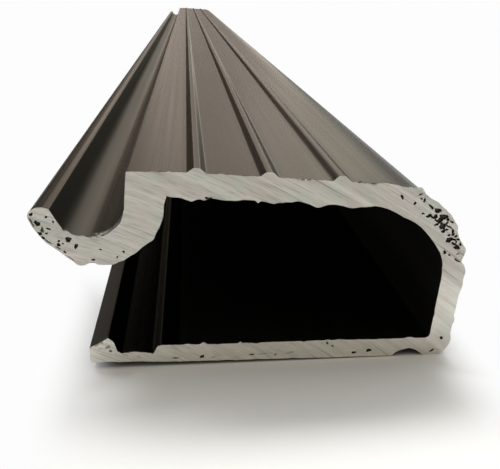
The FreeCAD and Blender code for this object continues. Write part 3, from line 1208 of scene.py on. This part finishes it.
# Burrs and dents round the near cut, in millimetres: x, z, height and width.
EDGE_LUMPS = (
    # The hook.
    EdgeLump(-18.62, 12.69, 0.14, 1.10), EdgeLump(-16.75, 10.35, -0.24, 0.75),
    EdgeLump(-14.75, 9.30, 0.26, 0.50), EdgeLump(-13.67, 9.07, -0.28, 0.35),
    EdgeLump(-12.00, 9.13, 0.10, 0.50), EdgeLump(-10.30, 9.70, -0.08, 0.60),
    EdgeLump(-9.30, 10.45, -0.13, 0.60), EdgeLump(-7.00, 14.10, -0.13, 0.70),
    EdgeLump(-8.36, 11.32, 0.14, 0.35),
    # The groove.
    EdgeLump(-14.40, 11.42, 0.20, 0.90), EdgeLump(-13.10, 11.60, 0.03, 0.85),
    EdgeLump(-11.00, 12.70, -0.10, 0.60), EdgeLump(-14.50, 11.42, 0.05, 0.15),
    EdgeLump(-13.50, 11.50, 0.05, 0.12),
    # The tread and the web under it.
    EdgeLump(-6.80, 17.40, 0.07, 0.20), EdgeLump(-2.30, 17.20, 0.08, 0.25),
    EdgeLump(12.00, 16.40, 0.08, 0.45), EdgeLump(14.50, 15.80, 0.09, 0.15),
    EdgeLump(-6.50, 15.08, 0.12, 0.80), EdgeLump(-5.05, 14.97, 0.37, 0.75),
    EdgeLump(-3.80, 14.88, 0.20, 0.30), EdgeLump(-2.20, 14.80, 0.13, 0.80),
    EdgeLump(-1.00, 14.67, 0.13, 0.60), EdgeLump(0.80, 14.53, 0.22, 0.15),
    EdgeLump(2.10, 14.43, 0.18, 0.70), EdgeLump(4.20, 14.27, -0.12, 0.30),
    EdgeLump(6.10, 14.14, 0.34, 0.65), EdgeLump(9.05, 13.90, 0.22, 0.75),
    EdgeLump(11.20, 13.74, -0.09, 0.50),
    # The nose and the wall.
    EdgeLump(15.05, 15.01, 0.42, 0.50), EdgeLump(16.60, 14.20, 0.15, 0.50),
    EdgeLump(18.70, 11.90, 0.11, 0.30), EdgeLump(17.83, 12.55, 0.27, 1.30),
    EdgeLump(18.96, 9.69, 0.36, 0.60), EdgeLump(19.05, 8.60, -0.12, 0.18),
    EdgeLump(19.01, 7.78, 0.31, 0.60), EdgeLump(18.83, 6.50, 0.30, 0.90),
    EdgeLump(18.47, 4.25, 0.11, 1.60), EdgeLump(18.20, 3.10, 0.10, 0.35),
    EdgeLump(18.05, 1.45, 0.16, 0.60), EdgeLump(13.69, 13.02, 0.20, 1.30),
    EdgeLump(16.95, 8.85, -0.29, 1.70), EdgeLump(16.60, 5.50, -0.05, 2.00),
    # The flange.
    EdgeLump(14.45, 1.60, 0.09, 0.40), EdgeLump(8.20, 1.60, 0.06, 0.40),
    EdgeLump(-0.85, 1.60, 0.15, 0.12), EdgeLump(-4.15, 1.60, 0.23, 0.22),
    EdgeLump(-3.00, 1.60, -0.06, 5.00), EdgeLump(-8.20, 1.35, 0.11, 0.25),
    EdgeLump(-10.30, 0.90, 0.12, 0.60), EdgeLump(-11.73, 1.19, -0.12, 0.20),
    EdgeLump(-12.30, 1.92, 0.16, 0.35), EdgeLump(-12.90, 0.00, -0.14, 1.30),
    EdgeLump(-10.20, 0.00, -0.11, 1.80),
)
# Pores in the near cut, in millimetres: x, z, width and height, and then turn and depth. Their dark
# colour is painted shade.
PORES = (
    # The hook.
    Pore(-18.30, 12.90, 0.54, 0.42, -40), Pore(-17.90, 12.30, 0.32, 0.46, 10, 0.35),
    Pore(-18.15, 11.98, 0.38, 0.34, -30), Pore(-17.85, 11.62, 0.40, 0.16, -35),
    Pore(-17.35, 12.40, 0.40, 0.13, -20), Pore(-17.55, 12.00, 0.25, 0.15, 0, 0.4),
    Pore(-16.52, 11.30, 0.22, 0.16), Pore(-16.55, 10.97, 0.32, 0.27),
    Pore(-16.18, 11.06, 0.13, 0.12), Pore(-15.70, 11.42, 0.60, 0.40, -15),
    Pore(-15.05, 10.80, 0.30, 0.46, -12), Pore(-16.05, 10.30, 0.30, 0.14, -25),
    Pore(-13.60, 9.55, 0.26, 0.16), Pore(-12.95, 10.46, 0.22, 0.10, -20),
    Pore(-10.95, 10.22, 0.20, 0.15), Pore(-11.50, 9.75, 0.16, 0.12),
    Pore(-16.92, 13.02, 0.18, 0.13, -30), Pore(-17.50, 13.40, 0.14, 0.10),
    Pore(-18.80, 13.70, 0.30, 0.26), Pore(-18.76, 13.00, 0.12, 1.20, 27, 0.3),
    Pore(-17.45, 11.28, 0.80, 0.10, -36, 0.3), Pore(-16.60, 10.70, 0.60, 0.10, -32, 0.3),
    Pore(-15.55, 9.74, 0.90, 0.08, -38, 0.2), Pore(-15.35, 11.93, 0.35, 0.10, -20),
    Pore(-16.05, 12.30, 0.40, 0.10, -40),
    # The nose.
    Pore(13.50, 14.60, 0.42, 0.22, -70), Pore(14.65, 14.00, 0.28, 0.20, 30),
    Pore(15.15, 14.80, 0.32, 0.12, 10, 0.4), Pore(15.50, 14.25, 0.36, 0.20, 70, 0.6),
    Pore(15.22, 14.40, 0.22, 0.14, -30, 0.5), Pore(16.12, 13.64, 0.64, 0.17, -40),
    Pore(16.70, 13.30, 0.58, 0.46, -30), Pore(15.40, 13.07, 0.32, 0.12, -15),
    Pore(15.95, 12.85, 0.52, 0.30, 10), Pore(16.50, 12.75, 0.42, 0.42, 60),
    Pore(17.25, 12.72, 0.76, 0.48, 15), Pore(16.92, 12.40, 0.46, 0.54),
    Pore(17.62, 12.50, 0.36, 0.25, -35), Pore(16.62, 12.05, 0.38, 0.20, 10),
    Pore(16.28, 12.70, 0.34, 0.20, -30), Pore(16.62, 12.38, 0.42, 0.18, -38),
    Pore(17.53, 12.15, 0.48, 0.13, 53), Pore(17.08, 12.12, 0.28, 0.20, -40),
    Pore(17.18, 11.85, 0.54, 0.60, 20), Pore(17.22, 11.38, 0.30, 0.22),
    Pore(17.72, 11.84, 0.58, 0.13, -29), Pore(17.42, 11.53, 0.56, 0.15, 8),
    Pore(17.98, 12.25, 0.34, 0.16, -30), Pore(18.10, 11.40, 0.26, 0.36, 10),
    Pore(18.12, 11.12, 0.30, 0.18), Pore(17.75, 11.05, 0.24, 0.18), Pore(18.40, 10.95, 0.22, 0.22),
    Pore(17.82, 10.64, 0.70, 0.44, 5), Pore(18.26, 10.64, 0.30, 0.18, 15),
    Pore(18.22, 10.26, 0.48, 0.22, -20), Pore(18.42, 10.45, 0.16, 0.26, 20, 0.7),
    Pore(18.60, 10.65, 0.24, 0.15), Pore(18.50, 9.95, 0.50, 0.46, 30),
    Pore(18.80, 10.20, 0.20, 0.32), Pore(17.42, 9.50, 0.32, 0.28, -40),
    Pore(17.85, 9.25, 0.22, 0.20, 0, 0.5), Pore(18.55, 8.74, 0.62, 0.13, -32),
    Pore(18.62, 9.35, 0.30, 0.10, 30, 0.35),
    # The flange and the web.
    Pore(17.35, 1.55, 0.30, 0.26, 20), Pore(16.50, 0.38, 0.50, 0.13, 40),
    Pore(10.75, 0.55, 0.44, 0.30, 20), Pore(9.40, 0.38, 0.46, 0.16),
    Pore(6.98, 1.33, 0.22, 0.16, -40), Pore(7.45, 1.05, 0.30, 0.12, -40, 0.5),
    Pore(-4.30, 0.40, 0.46, 0.20, 35), Pore(0.15, 0.45, 0.50, 0.13, -10, 0.4),
    Pore(-6.70, 0.30, 0.60, 0.10, 0, 0.4), Pore(2.30, 0.40, 0.20, 0.15, 0, 0.4),
    Pore(-3.45, 14.82, 0.75, 0.12, 0), Pore(-13.62, 1.78, 0.60, 0.20, 25, 0.22),
    Pore(-13.15, 1.96, 0.40, 0.26, 50, 0.18), Pore(-12.62, 1.52, 0.46, 0.32, 20, 0.22),
    Pore(-12.40, 1.14, 0.34, 0.18, -20, 0.3), Pore(-13.30, 1.40, 0.50, 0.12, 10, 0.15),
    Pore(-9.90, 0.50, 0.70, 0.20, -25, 0.12), Pore(-11.10, 0.72, 0.80, 0.14, -20, 0.15),
    Pore(-6.60, 0.30, 0.90, 0.22, 4, 0.15), Pore(-3.30, 0.28, 0.60, 0.20, 10, 0.15),
    Pore(1.20, 0.45, 1.10, 0.26, 5, 0.12), Pore(3.60, 0.50, 0.90, 0.26, 10, 0.15),
    # Two thin slits along the tread's edge, whose dark colour is painted shade along the cut's top
    # edge.
    Pore(5.10, 16.32, 1.90, 0.07, -4, 0.6), Pore(10.40, 15.93, 1.60, 0.07, -5, 0.7),
)


@dataclass
class ExtrudedBar:
    """The whole bar as one closed piece: a swept skin between two sawn ends.

    Sizes are in millimetres. The skin's stations crowd towards both ends. Burrs fade out over
    burr_reach behind the near cut, and those higher than bare_burr are bare metal. The blade's
    marks and the pores fade out over cut_wander. Edges sharper than crease, in degrees, keep a hard
    shade.
    """

    section: BarSection
    blade: SawBlade
    outline: OutlineFinish = field(default_factory=OutlineFinish)
    lumps: Sequence[EdgeLump] = EDGE_LUMPS
    tears: RaggedEdge = RaggedEdge()
    pores: Sequence[Pore] = PORES
    stations: int = 38
    crowding: float = 8.5
    burr_reach: float = 0.35
    cut_wander: float = 0.3
    pore_depth: float = 0.28
    near_grid: float = 0.11
    far_grid: float = 0.16
    pore_grid: float = 0.05
    near_seed: int = 4
    far_seed: int = 9
    weld: float = 0.002
    bare_burr: float = 0.05
    crease: float = 42.0

    def build(self) -> bpy.types.Object:
        """Build the bar between the ends that the CAD node has.

        Returns:
            The bar's object, at the origin, with its finishes.
        """
        low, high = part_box(NODE)
        drawn = self.section.draw(self.outline.drawing_step)
        ring = self.outline.finish(drawn)
        burrs = burr_heights(ring, [*self.lumps, *self.tears.lumps(ring)])
        burred = ring + outward(ring) * burrs[:, None]
        profile = self._profile(ring, burrs)
        near = CutFace(
            CutSide.NEAR, burred, self.pores, self.near_grid, self.pore_grid, self.near_seed)
        far = CutFace(CutSide.FAR, ring, (), self.far_grid, self.pore_grid, self.far_seed)
        near_face = near.make("near_cut", low.y)
        far_face = far.make("far_cut", high.y)
        blade = self.blade
        lengths = {
            "Burr reach": self.burr_reach, "Bare burr": self.bare_burr, "Weld": self.weld,
            "Cut wander": self.cut_wander, "Pore depth": self.pore_depth,
            "Blade X": blade.x, "Blade Z": blade.z,
            "Mark spacing": blade.mark_spacing, "Mark depth": blade.mark_depth,
            "Fine spacing": blade.fine_spacing, "Fine depth": blade.fine_depth,
        }
        mesh = self._tree().apply(profile, {
            "Near cut": near_face, "Far cut": far_face, "Near end": low.y, "Far end": high.y,
            "Stations": self.stations, "Crowding": self.crowding,
            "Crease": math.radians(self.crease),
            "Skin": AnodisedBronze(low.y).make(), "Cut": SawnAluminium(blade).make(),
            **{name: length * MM for name, length in lengths.items()},
        })
        for helper in (profile, near_face, far_face):
            bpy.data.objects.remove(helper)
        return put_in_scene("bar_body", mesh)

    def _profile(self, ring: Floats, burrs: Floats) -> bpy.types.Object:
        """Lay the section down as a closed string of edges that carries its burrs.

        Args:
            ring: The outline without burrs.
            burrs: How far each of its points is pushed outwards.

        Returns:
            An object whose mesh has the point attributes "burr" and "outward".
        """
        mesh = bpy.data.meshes.new("section")
        count = len(ring)
        edges = [(k, (k + 1) % count) for k in range(count)]
        mesh.from_pydata([(x * MM, 0.0, z * MM) for x, z in ring], edges, [])
        height = mesh.attributes.new("burr", "FLOAT", "POINT")
        height.data.foreach_set("value", (burrs * MM).astype(np.float32))
        normals = np.insert(outward(ring), 1, 0.0, axis=1)
        normal = mesh.attributes.new("outward", "FLOAT_VECTOR", "POINT")
        normal.data.foreach_set("vector", normals.astype(np.float32).ravel())
        return put_in_scene("section", mesh)

    def _tree(self) -> ShapeTree:
        """Build the tree that sweeps the section and cuts its ends.

        Returns:
            The tree, which takes the section's object.
        """
        tree = ShapeTree("sawn_extrusion")
        near_end = tree.named_input("Near end", "Float")
        far_end = tree.named_input("Far end", "Float")
        skin = self._swept_skin(tree, near_end, far_end)
        faces = [self._sawn(tree, tree.object_input(name)) for name in ("Near cut", "Far cut")]
        joined = tree.add("GeometryNodeJoinGeometry")
        for part in (skin, *faces):
            tree.feed(joined.inputs[0], part)
        weld = {0: joined.outputs[0], "Distance": tree.named_input("Weld", "Float")}
        welded = tree.add("GeometryNodeMergeByDistance", weld).outputs[0]
        made = tree.shift(welded, self._saw_marks(tree, near_end, far_end))
        angle = tree.add("GeometryNodeInputMeshEdgeAngle").outputs["Unsigned Angle"]
        sharp = tree.maths("GREATER_THAN", angle, tree.named_input("Crease", "Float"))
        for domain, chosen, smooth in (("FACE", True, True), ("EDGE", sharp, False)):
            shading = {"Geometry": made, "Selection": chosen, "Shade Smooth": smooth}
            made = tree.add("GeometryNodeSetShadeSmooth", shading, domain=domain).outputs[0]
        for name in ("burr", "outward"):
            spent = {"Geometry": made, "Name": name}
            made = tree.add("GeometryNodeRemoveAttribute", spent).outputs[0]
        made = tree.add("GeometryNodeRealizeInstances", {0: made}).outputs[0]
        for name, chosen in (("Skin", True), ("Cut", tree.attribute("sawn", "BOOLEAN"))):
            finish = tree.named_input(name, "Material")
            dressing = {"Geometry": made, "Selection": chosen, "Material": finish}
            made = tree.add("GeometryNodeSetMaterial", dressing).outputs[0]
        tree.end(made)
        return tree

    def _sawn(self, tree: ShapeTree, geometry: Any, bare: Any = True) -> Socket:
        """Mark the faces, or those that are chosen, as bare sawn metal.

        Args:
            tree: The tree.
            geometry: What carries the faces.
            bare: Which of them are bare.

        Returns:
            The geometry with the face attribute "sawn".
        """
        feeds = {"Geometry": geometry, "Name": "sawn", "Value": bare}
        kind = {"data_type": "BOOLEAN", "domain": "FACE"}
        return tree.add("GeometryNodeStoreNamedAttribute", feeds, **kind).outputs[0]

    def _swept_skin(self, tree: ShapeTree, near_end: Socket, far_end: Socket) -> Socket:
        """Sweep the section from end to end, and push its burrs out at the near cut.

        Args:
            tree: The tree.
            near_end: Where the bar starts along Y.
            far_end: Where it ends.

        Returns:
            The skin, open at both ends.
        """
        feeds = {name: tree.add("ShaderNodeCombineXYZ", {1: end}).outputs[0]
                 for name, end in (("Start", near_end), ("End", far_end))}
        line = tree.add("GeometryNodeCurvePrimitiveLine", feeds).outputs[0]
        count = {"Curve": line, "Count": tree.named_input("Stations", "Int")}
        rail = tree.add("GeometryNodeResampleCurve", count).outputs[0]
        station = {"Geometry": rail, "Position": self._station(tree, near_end, far_end)}
        rail = tree.add("GeometryNodeSetPosition", station).outputs[0]

        # A curve along +Y carries a profile's Y axis to -Z, so the section is laid down first.
        lying = {"Geometry": tree.entry.outputs["Geometry"], "Rotation": (math.pi / 2, 0, 0)}
        laid = tree.add("GeometryNodeTransform", lying).outputs[0]
        outline = tree.add("GeometryNodeMeshToCurve", {0: laid}).outputs[0]
        sweep = {"Curve": rail, "Profile Curve": outline}
        swept = tree.add("GeometryNodeCurveToMesh", sweep).outputs[0]
        skin = tree.add("GeometryNodeFlipFaces", {0: swept}).outputs[0]

        y = tree.parts(tree.add("GeometryNodeInputPosition").outputs[0])[1]
        fade = tree.die_away(tree.minus(y, near_end), tree.named_input("Burr reach", "Float"))
        height = tree.times(tree.attribute("burr"), fade)
        bare = tree.maths("GREATER_THAN", height, tree.named_input("Bare burr", "Float"))
        push = tree.scaled(tree.attribute("outward", "FLOAT_VECTOR"), height)
        return tree.shift(self._sawn(tree, skin, bare), push)

    def _station(self, tree: ShapeTree, near_end: Socket, far_end: Socket) -> Socket:
        """Crowd the sweep's stations together towards both cuts.

        Their distance from the nearer cut grows exponentially.

        Args:
            tree: The tree.
            near_end: Where the bar starts along Y.
            far_end: Where it ends.

        Returns:
            The place of each station.
        """
        crowding = tree.named_input("Crowding", "Float")
        factor = tree.add("GeometryNodeSplineParameter").outputs["Factor"]
        from_middle = tree.minus(tree.times(factor, 2.0), 1.0)
        to_end = tree.minus(1.0, tree.maths("ABSOLUTE", from_middle))
        grown = tree.minus(tree.maths("EXPONENT", tree.times(to_end, crowding)), 1.0)
        most = tree.minus(tree.maths("EXPONENT", crowding), 1.0)
        share = tree.minus(1.0, tree.maths("DIVIDE", grown, most))
        half = tree.times(tree.minus(far_end, near_end), 0.5)
        middle = tree.times(tree.plus(far_end, near_end), 0.5)
        y = tree.plus(middle, tree.times(tree.maths("SIGN", from_middle), tree.times(share, half)))
        return tree.add("ShaderNodeCombineXYZ", {1: y}).outputs[0]

    def _saw_marks(self, tree: ShapeTree, near_end: Socket, far_end: Socket) -> Socket:
        """How far the blade's marks and the pores move each point along Y.

        Args:
            tree: The tree.
            near_end: Where the near cut is along Y.
            far_end: Where the far cut is.

        Returns:
            The offset of each point.
        """
        x, y, z = tree.parts(tree.add("GeometryNodeInputPosition").outputs[0])
        across = tree.minus(x, tree.named_input("Blade X", "Float"))
        up = tree.minus(z, tree.named_input("Blade Z", "Float"))
        radius = tree.diagonal(across, up)
        marks = []
        for size in ("Mark", "Fine"):
            spacing = tree.named_input(f"{size} spacing", "Float")
            depth = tree.named_input(f"{size} depth", "Float")
            wave = tree.line_noise(tree.maths("DIVIDE", radius, spacing), scale=2.0, detail=1.0)
            # The noise seldom strays more than a quarter from its middle, hence the four.
            marks.append(tree.times(tree.minus(wave, 0.5), tree.times(depth, 4.0)))
        pore = tree.times(tree.attribute("pore"), tree.named_input("Pore depth", "Float"))
        inward = tree.plus(tree.plus(*marks), pore)
        wander = tree.named_input("Cut wander", "Float")
        near = tree.times(tree.die_away(tree.minus(y, near_end), wander), inward)
        far = tree.times(tree.die_away(tree.minus(far_end, y), wander), inward)
        return tree.add("ShaderNodeCombineXYZ", {1: tree.minus(near, far)}).outputs[0]


# --------------------------------------------------------------------------------------------------
# The studio


@dataclass(frozen=True)
class SkyPanel:
    """A wide soft light high in the sky. Angles in degrees: its bearing runs from +Y towards +X."""

    bearing: float = -6.0
    half_width: float = 22.0
    side_fade: float = 24.0
    elevation: float = 42.5
    half_height: float = 3.0
    edge_fade: float = 6.5
    strength: float = 13.7


@dataclass(frozen=True)
class SkyGlow:
    """The plain sky. Behind the bar it follows the angle from +Y and the turn round +Y, in degrees.

    The turn is 0 straight up, and grows towards +X. On the left hangs a dark curtain, on the right
    stands a bright window, and low in the middle glows a small patch, the hearth. A range runs from
    where something sets in to where it is full, and the hearth's turn and angle are a middle and a
    reach.
    """

    behind_rise: Range = (-0.2, 0.5)
    behind: tuple[tuple[float, Colour], ...] = (
        (0.0, (0.03, 0.025, 0.022)),
        (3.0, (0.14, 0.12, 0.105)),
        (6.0, (0.46, 0.38, 0.34)),
        (9.0, (0.85, 0.71, 0.63)),
        (12.0, (1.06, 0.89, 0.78)),
        (25.0, (1.0, 0.96, 0.92)),
        (60.0, (0.67, 0.67, 0.67)),
    )
    front_low: Colour = (0.27, 0.255, 0.225)
    front_high: Colour = (0.45, 0.425, 0.375)
    front_rise: Range = (8.0, 50.0)
    curtain: tuple[tuple[float, Colour], ...] = (
        (4.0, (0.09, 0.056, 0.034)),
        (9.0, (0.12, 0.082, 0.054)),
        (13.0, (0.13, 0.105, 0.082)),
        (18.0, (0.19, 0.19, 0.175)),
    )
    curtain_edge: Range = (-29.0, -6.0)
    curtain_start: Range = (1.0, 5.5)
    curtain_end: Range = (35.0, 50.0)
    window: float = 2.1
    window_rise: Range = (24.0, 45.0)
    window_fall: Range = (52.5, 60.5)
    window_start: Range = (9.5, 12.5)
    beyond_start: Range = (4.5, 9.0)
    beyond_window: float = 0.12
    right_tint: Colour = (0.92, 1.0, 0.98)
    tint_rise: Range = (24.0, 50.0)
    below_window: float = 5.0
    hearth: float = 4.6
    hearth_turn: Range = (-5.0, 15.0)
    hearth_angle: Range = (6.9, 2.1)


@dataclass(frozen=True)
class Studio:
    """A white floor under a soft sky, with one soft panel in it. Sizes in metres and degrees."""

    panel: SkyPanel = SkyPanel()
    glow: SkyGlow = SkyGlow()
    floor_size: float = 48.0
    floor_fall: float = 0.9
    fall_start: float = 0.0165
    fall_end: float = -0.3

    def build(self, near_end: float) -> bpy.types.Object:
        """Make the floor and the sky.

        The floor falls away a little to the left of the bar's heel, so that a thin gap shows under
        the toe, and it is level again further out.

        Args:
            near_end: Where the near cut is along Y, in metres.

        Returns:
            The floor.
        """
        self._sky()
        half = self.floor_size / 2
        drop = (self.fall_start - self.fall_end) * math.tan(math.radians(self.floor_fall))
        profile = [(-half, -drop), (self.fall_end, -drop), (self.fall_start, 0.0), (half, 0.0)]
        corners = [(x, y, z) for x, z in profile for y in (-half, half)]
        mesh = bpy.data.meshes.new("floor")
        mesh.from_pydata(corners, [], [(i, i + 2, i + 3, i + 1) for i in (0, 2, 4)])
        mesh.materials.append(PaleFloor(near_end).make())
        return put_in_scene("floor", mesh)

    def _sky(self) -> None:
        """Light the scene from the sky alone."""
        world = bpy.data.worlds.new("soft_sky")
        world.use_nodes = True
        world.node_tree.nodes.clear()
        bpy.context.scene.world = world
        board = NodeBoard(world.node_tree)
        glow = self.glow
        x, y, z = board.parts(board.add("ShaderNodeTexCoord").outputs["Generated"])
        bearing = board.maths("DEGREES", board.maths("ARCTAN2", x, y))
        elevation = board.maths("DEGREES", board.maths("ARCSINE", z))
        angle = board.maths("DEGREES", board.maths("ARCCOSINE", y))
        turn = board.maths("DEGREES", board.maths("ARCTAN2", x, z))
        curtain = self._curtain(board, angle, turn)
        hung = board.vector_maths("MULTIPLY", board.steps(angle, glow.behind), curtain)
        right = board.stretch(hung, glow.right_tint)
        tinted = board.blend(board.ramp(turn, *glow.tint_rise), hung, right)
        hearth = self._hearth_share(board, angle, turn)
        share = board.times(self._window_share(board, angle, turn), hearth)
        height = board.ramp(elevation, *glow.front_rise)
        front = board.blend(height, glow.front_low, glow.front_high)
        ambient = board.blend(board.ramp(y, *glow.behind_rise), front, board.scaled(tinted, share))
        panel = board.times(self._panel_share(board, bearing, elevation), self.panel.strength)
        light = board.vector_maths("ADD", ambient, panel)
        sky = board.add("ShaderNodeBackground", {"Color": light, "Strength": 1.0}).outputs[0]
        board.add("ShaderNodeOutputWorld", {"Surface": sky})

    def _curtain(self, board: NodeBoard, angle: Socket, turn: Socket) -> Socket:
        """Hang the curtain on the left.

        Args:
            board: The sky's nodes.
            angle: The angle from +Y.
            turn: The turn round +Y.

        Returns:
            The colour that is left of the sky's light: the cloth's in the curtain, white beside it.
        """
        glow = self.glow
        white = (1.0, 1.0, 1.0)
        hung = board.times(
            board.ramp(angle, *glow.curtain_start), board.fall(angle, *glow.curtain_end))
        cloth = board.blend(hung, white, board.steps(angle, glow.curtain))
        return board.blend(board.ramp(turn, *glow.curtain_edge), cloth, white)

    def _window_share(self, board: NodeBoard, angle: Socket, turn: Socket) -> Socket:
        """Brighten the sky high on the right, and change it again beyond that.

        Args:
            board: The sky's nodes.
            angle: The angle from +Y.
            turn: The turn round +Y.

        Returns:
            A factor for the sky's light.
        """
        glow = self.glow
        high = board.ramp(angle, *glow.window_start, 1.0, glow.window)
        window = board.ramp(turn, *glow.window_rise, 1.0, high)
        beyond = board.ramp(angle, *glow.beyond_start, glow.below_window, glow.beyond_window)
        return board.ramp(turn, *glow.window_fall, window, beyond)

    def _hearth_share(self, board: NodeBoard, angle: Socket, turn: Socket) -> Socket:
        """Brighten the sky in a soft patch low behind the bar.

        Args:
            board: The sky's nodes.
            angle: The angle from +Y.
            turn: The turn round +Y.

        Returns:
            A factor for the sky's light.
        """
        glow = self.glow
        shares = []
        for value, (middle, reach) in ((turn, glow.hearth_turn), (angle, glow.hearth_angle)):
            shares.append(board.fall(board.away(value, middle), 0.0, reach))
        return board.maths("MULTIPLY_ADD", board.times(*shares), glow.hearth - 1.0, 1.0)

    def _panel_share(self, board: NodeBoard, bearing: Socket, elevation: Socket) -> Socket:
        """Find how much of the panel shines from a direction.

        Args:
            board: The sky's nodes.
            bearing: The direction's bearing.
            elevation: Its height above the horizon.

        Returns:
            A share, from 0 to 1.
        """
        panel = self.panel
        shares = []
        for value, middle, half, fade in (
            (bearing, panel.bearing, panel.half_width, panel.side_fade),
            (elevation, panel.elevation, panel.half_height, panel.edge_fade),
        ):
            shares.append(board.fall(board.away(value, middle), half, half + fade))
        return board.times(*shares)


@dataclass(frozen=True)
class StudioCamera:
    """The camera, close above and in front of the near cut. Millimetres from it, and degrees."""

    right: float = -5.065
    ahead: float = 92.113
    height: float = 32.381
    pan: float = -3.2152
    tilt: float = -12.7448
    roll: float = -0.5346
    lens: float = 77.76
    sensor: float = 36.0
    nearest: float = 1.0
    farthest: float = 50_000.0

    def build(self, near_end: float) -> bpy.types.Object:
        """Make the camera the scene's own.

        Args:
            near_end: Where the near cut is along Y, in metres.

        Returns:
            The camera.
        """
        data = bpy.data.cameras.new("studio_camera")
        data.lens = self.lens
        data.sensor_width = self.sensor
        data.clip_start = self.nearest * MM
        data.clip_end = self.farthest * MM
        camera = put_in_scene("studio_camera", data)
        camera.location = (self.right * MM, near_end - self.ahead * MM, self.height * MM)
        turned = Euler((0, 0, math.radians(self.pan))).to_matrix()
        tilted = Euler((math.radians(90 + self.tilt), 0, 0)).to_matrix()
        rolled = Euler((0, 0, math.radians(self.roll))).to_matrix()
        camera.rotation_euler = (turned @ tilted @ rolled).to_euler()
        bpy.context.scene.camera = camera
        return camera


def main() -> None:
    """Build the bar, the studio and the camera."""
    logging.basicConfig(level=logging.INFO, format="%(name)s: %(message)s")
    scene = bpy.context.scene
    scene.view_settings.view_transform = "Standard"

    bar = ExtrudedBar(BarSection(SectionSizes()), SawBlade()).build()
    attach(bar, "root")
    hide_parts(NODE)
    LOG.info("%s: %d points, %d faces", bar.name, len(bar.data.vertices), len(bar.data.polygons))

    floor = Studio().build(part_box(NODE)[0].y)
    StudioCamera().build(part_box(NODE)[0].y)
    LOG.info("studio: floor, sky and camera")


if __name__ == "__main__":
    main()
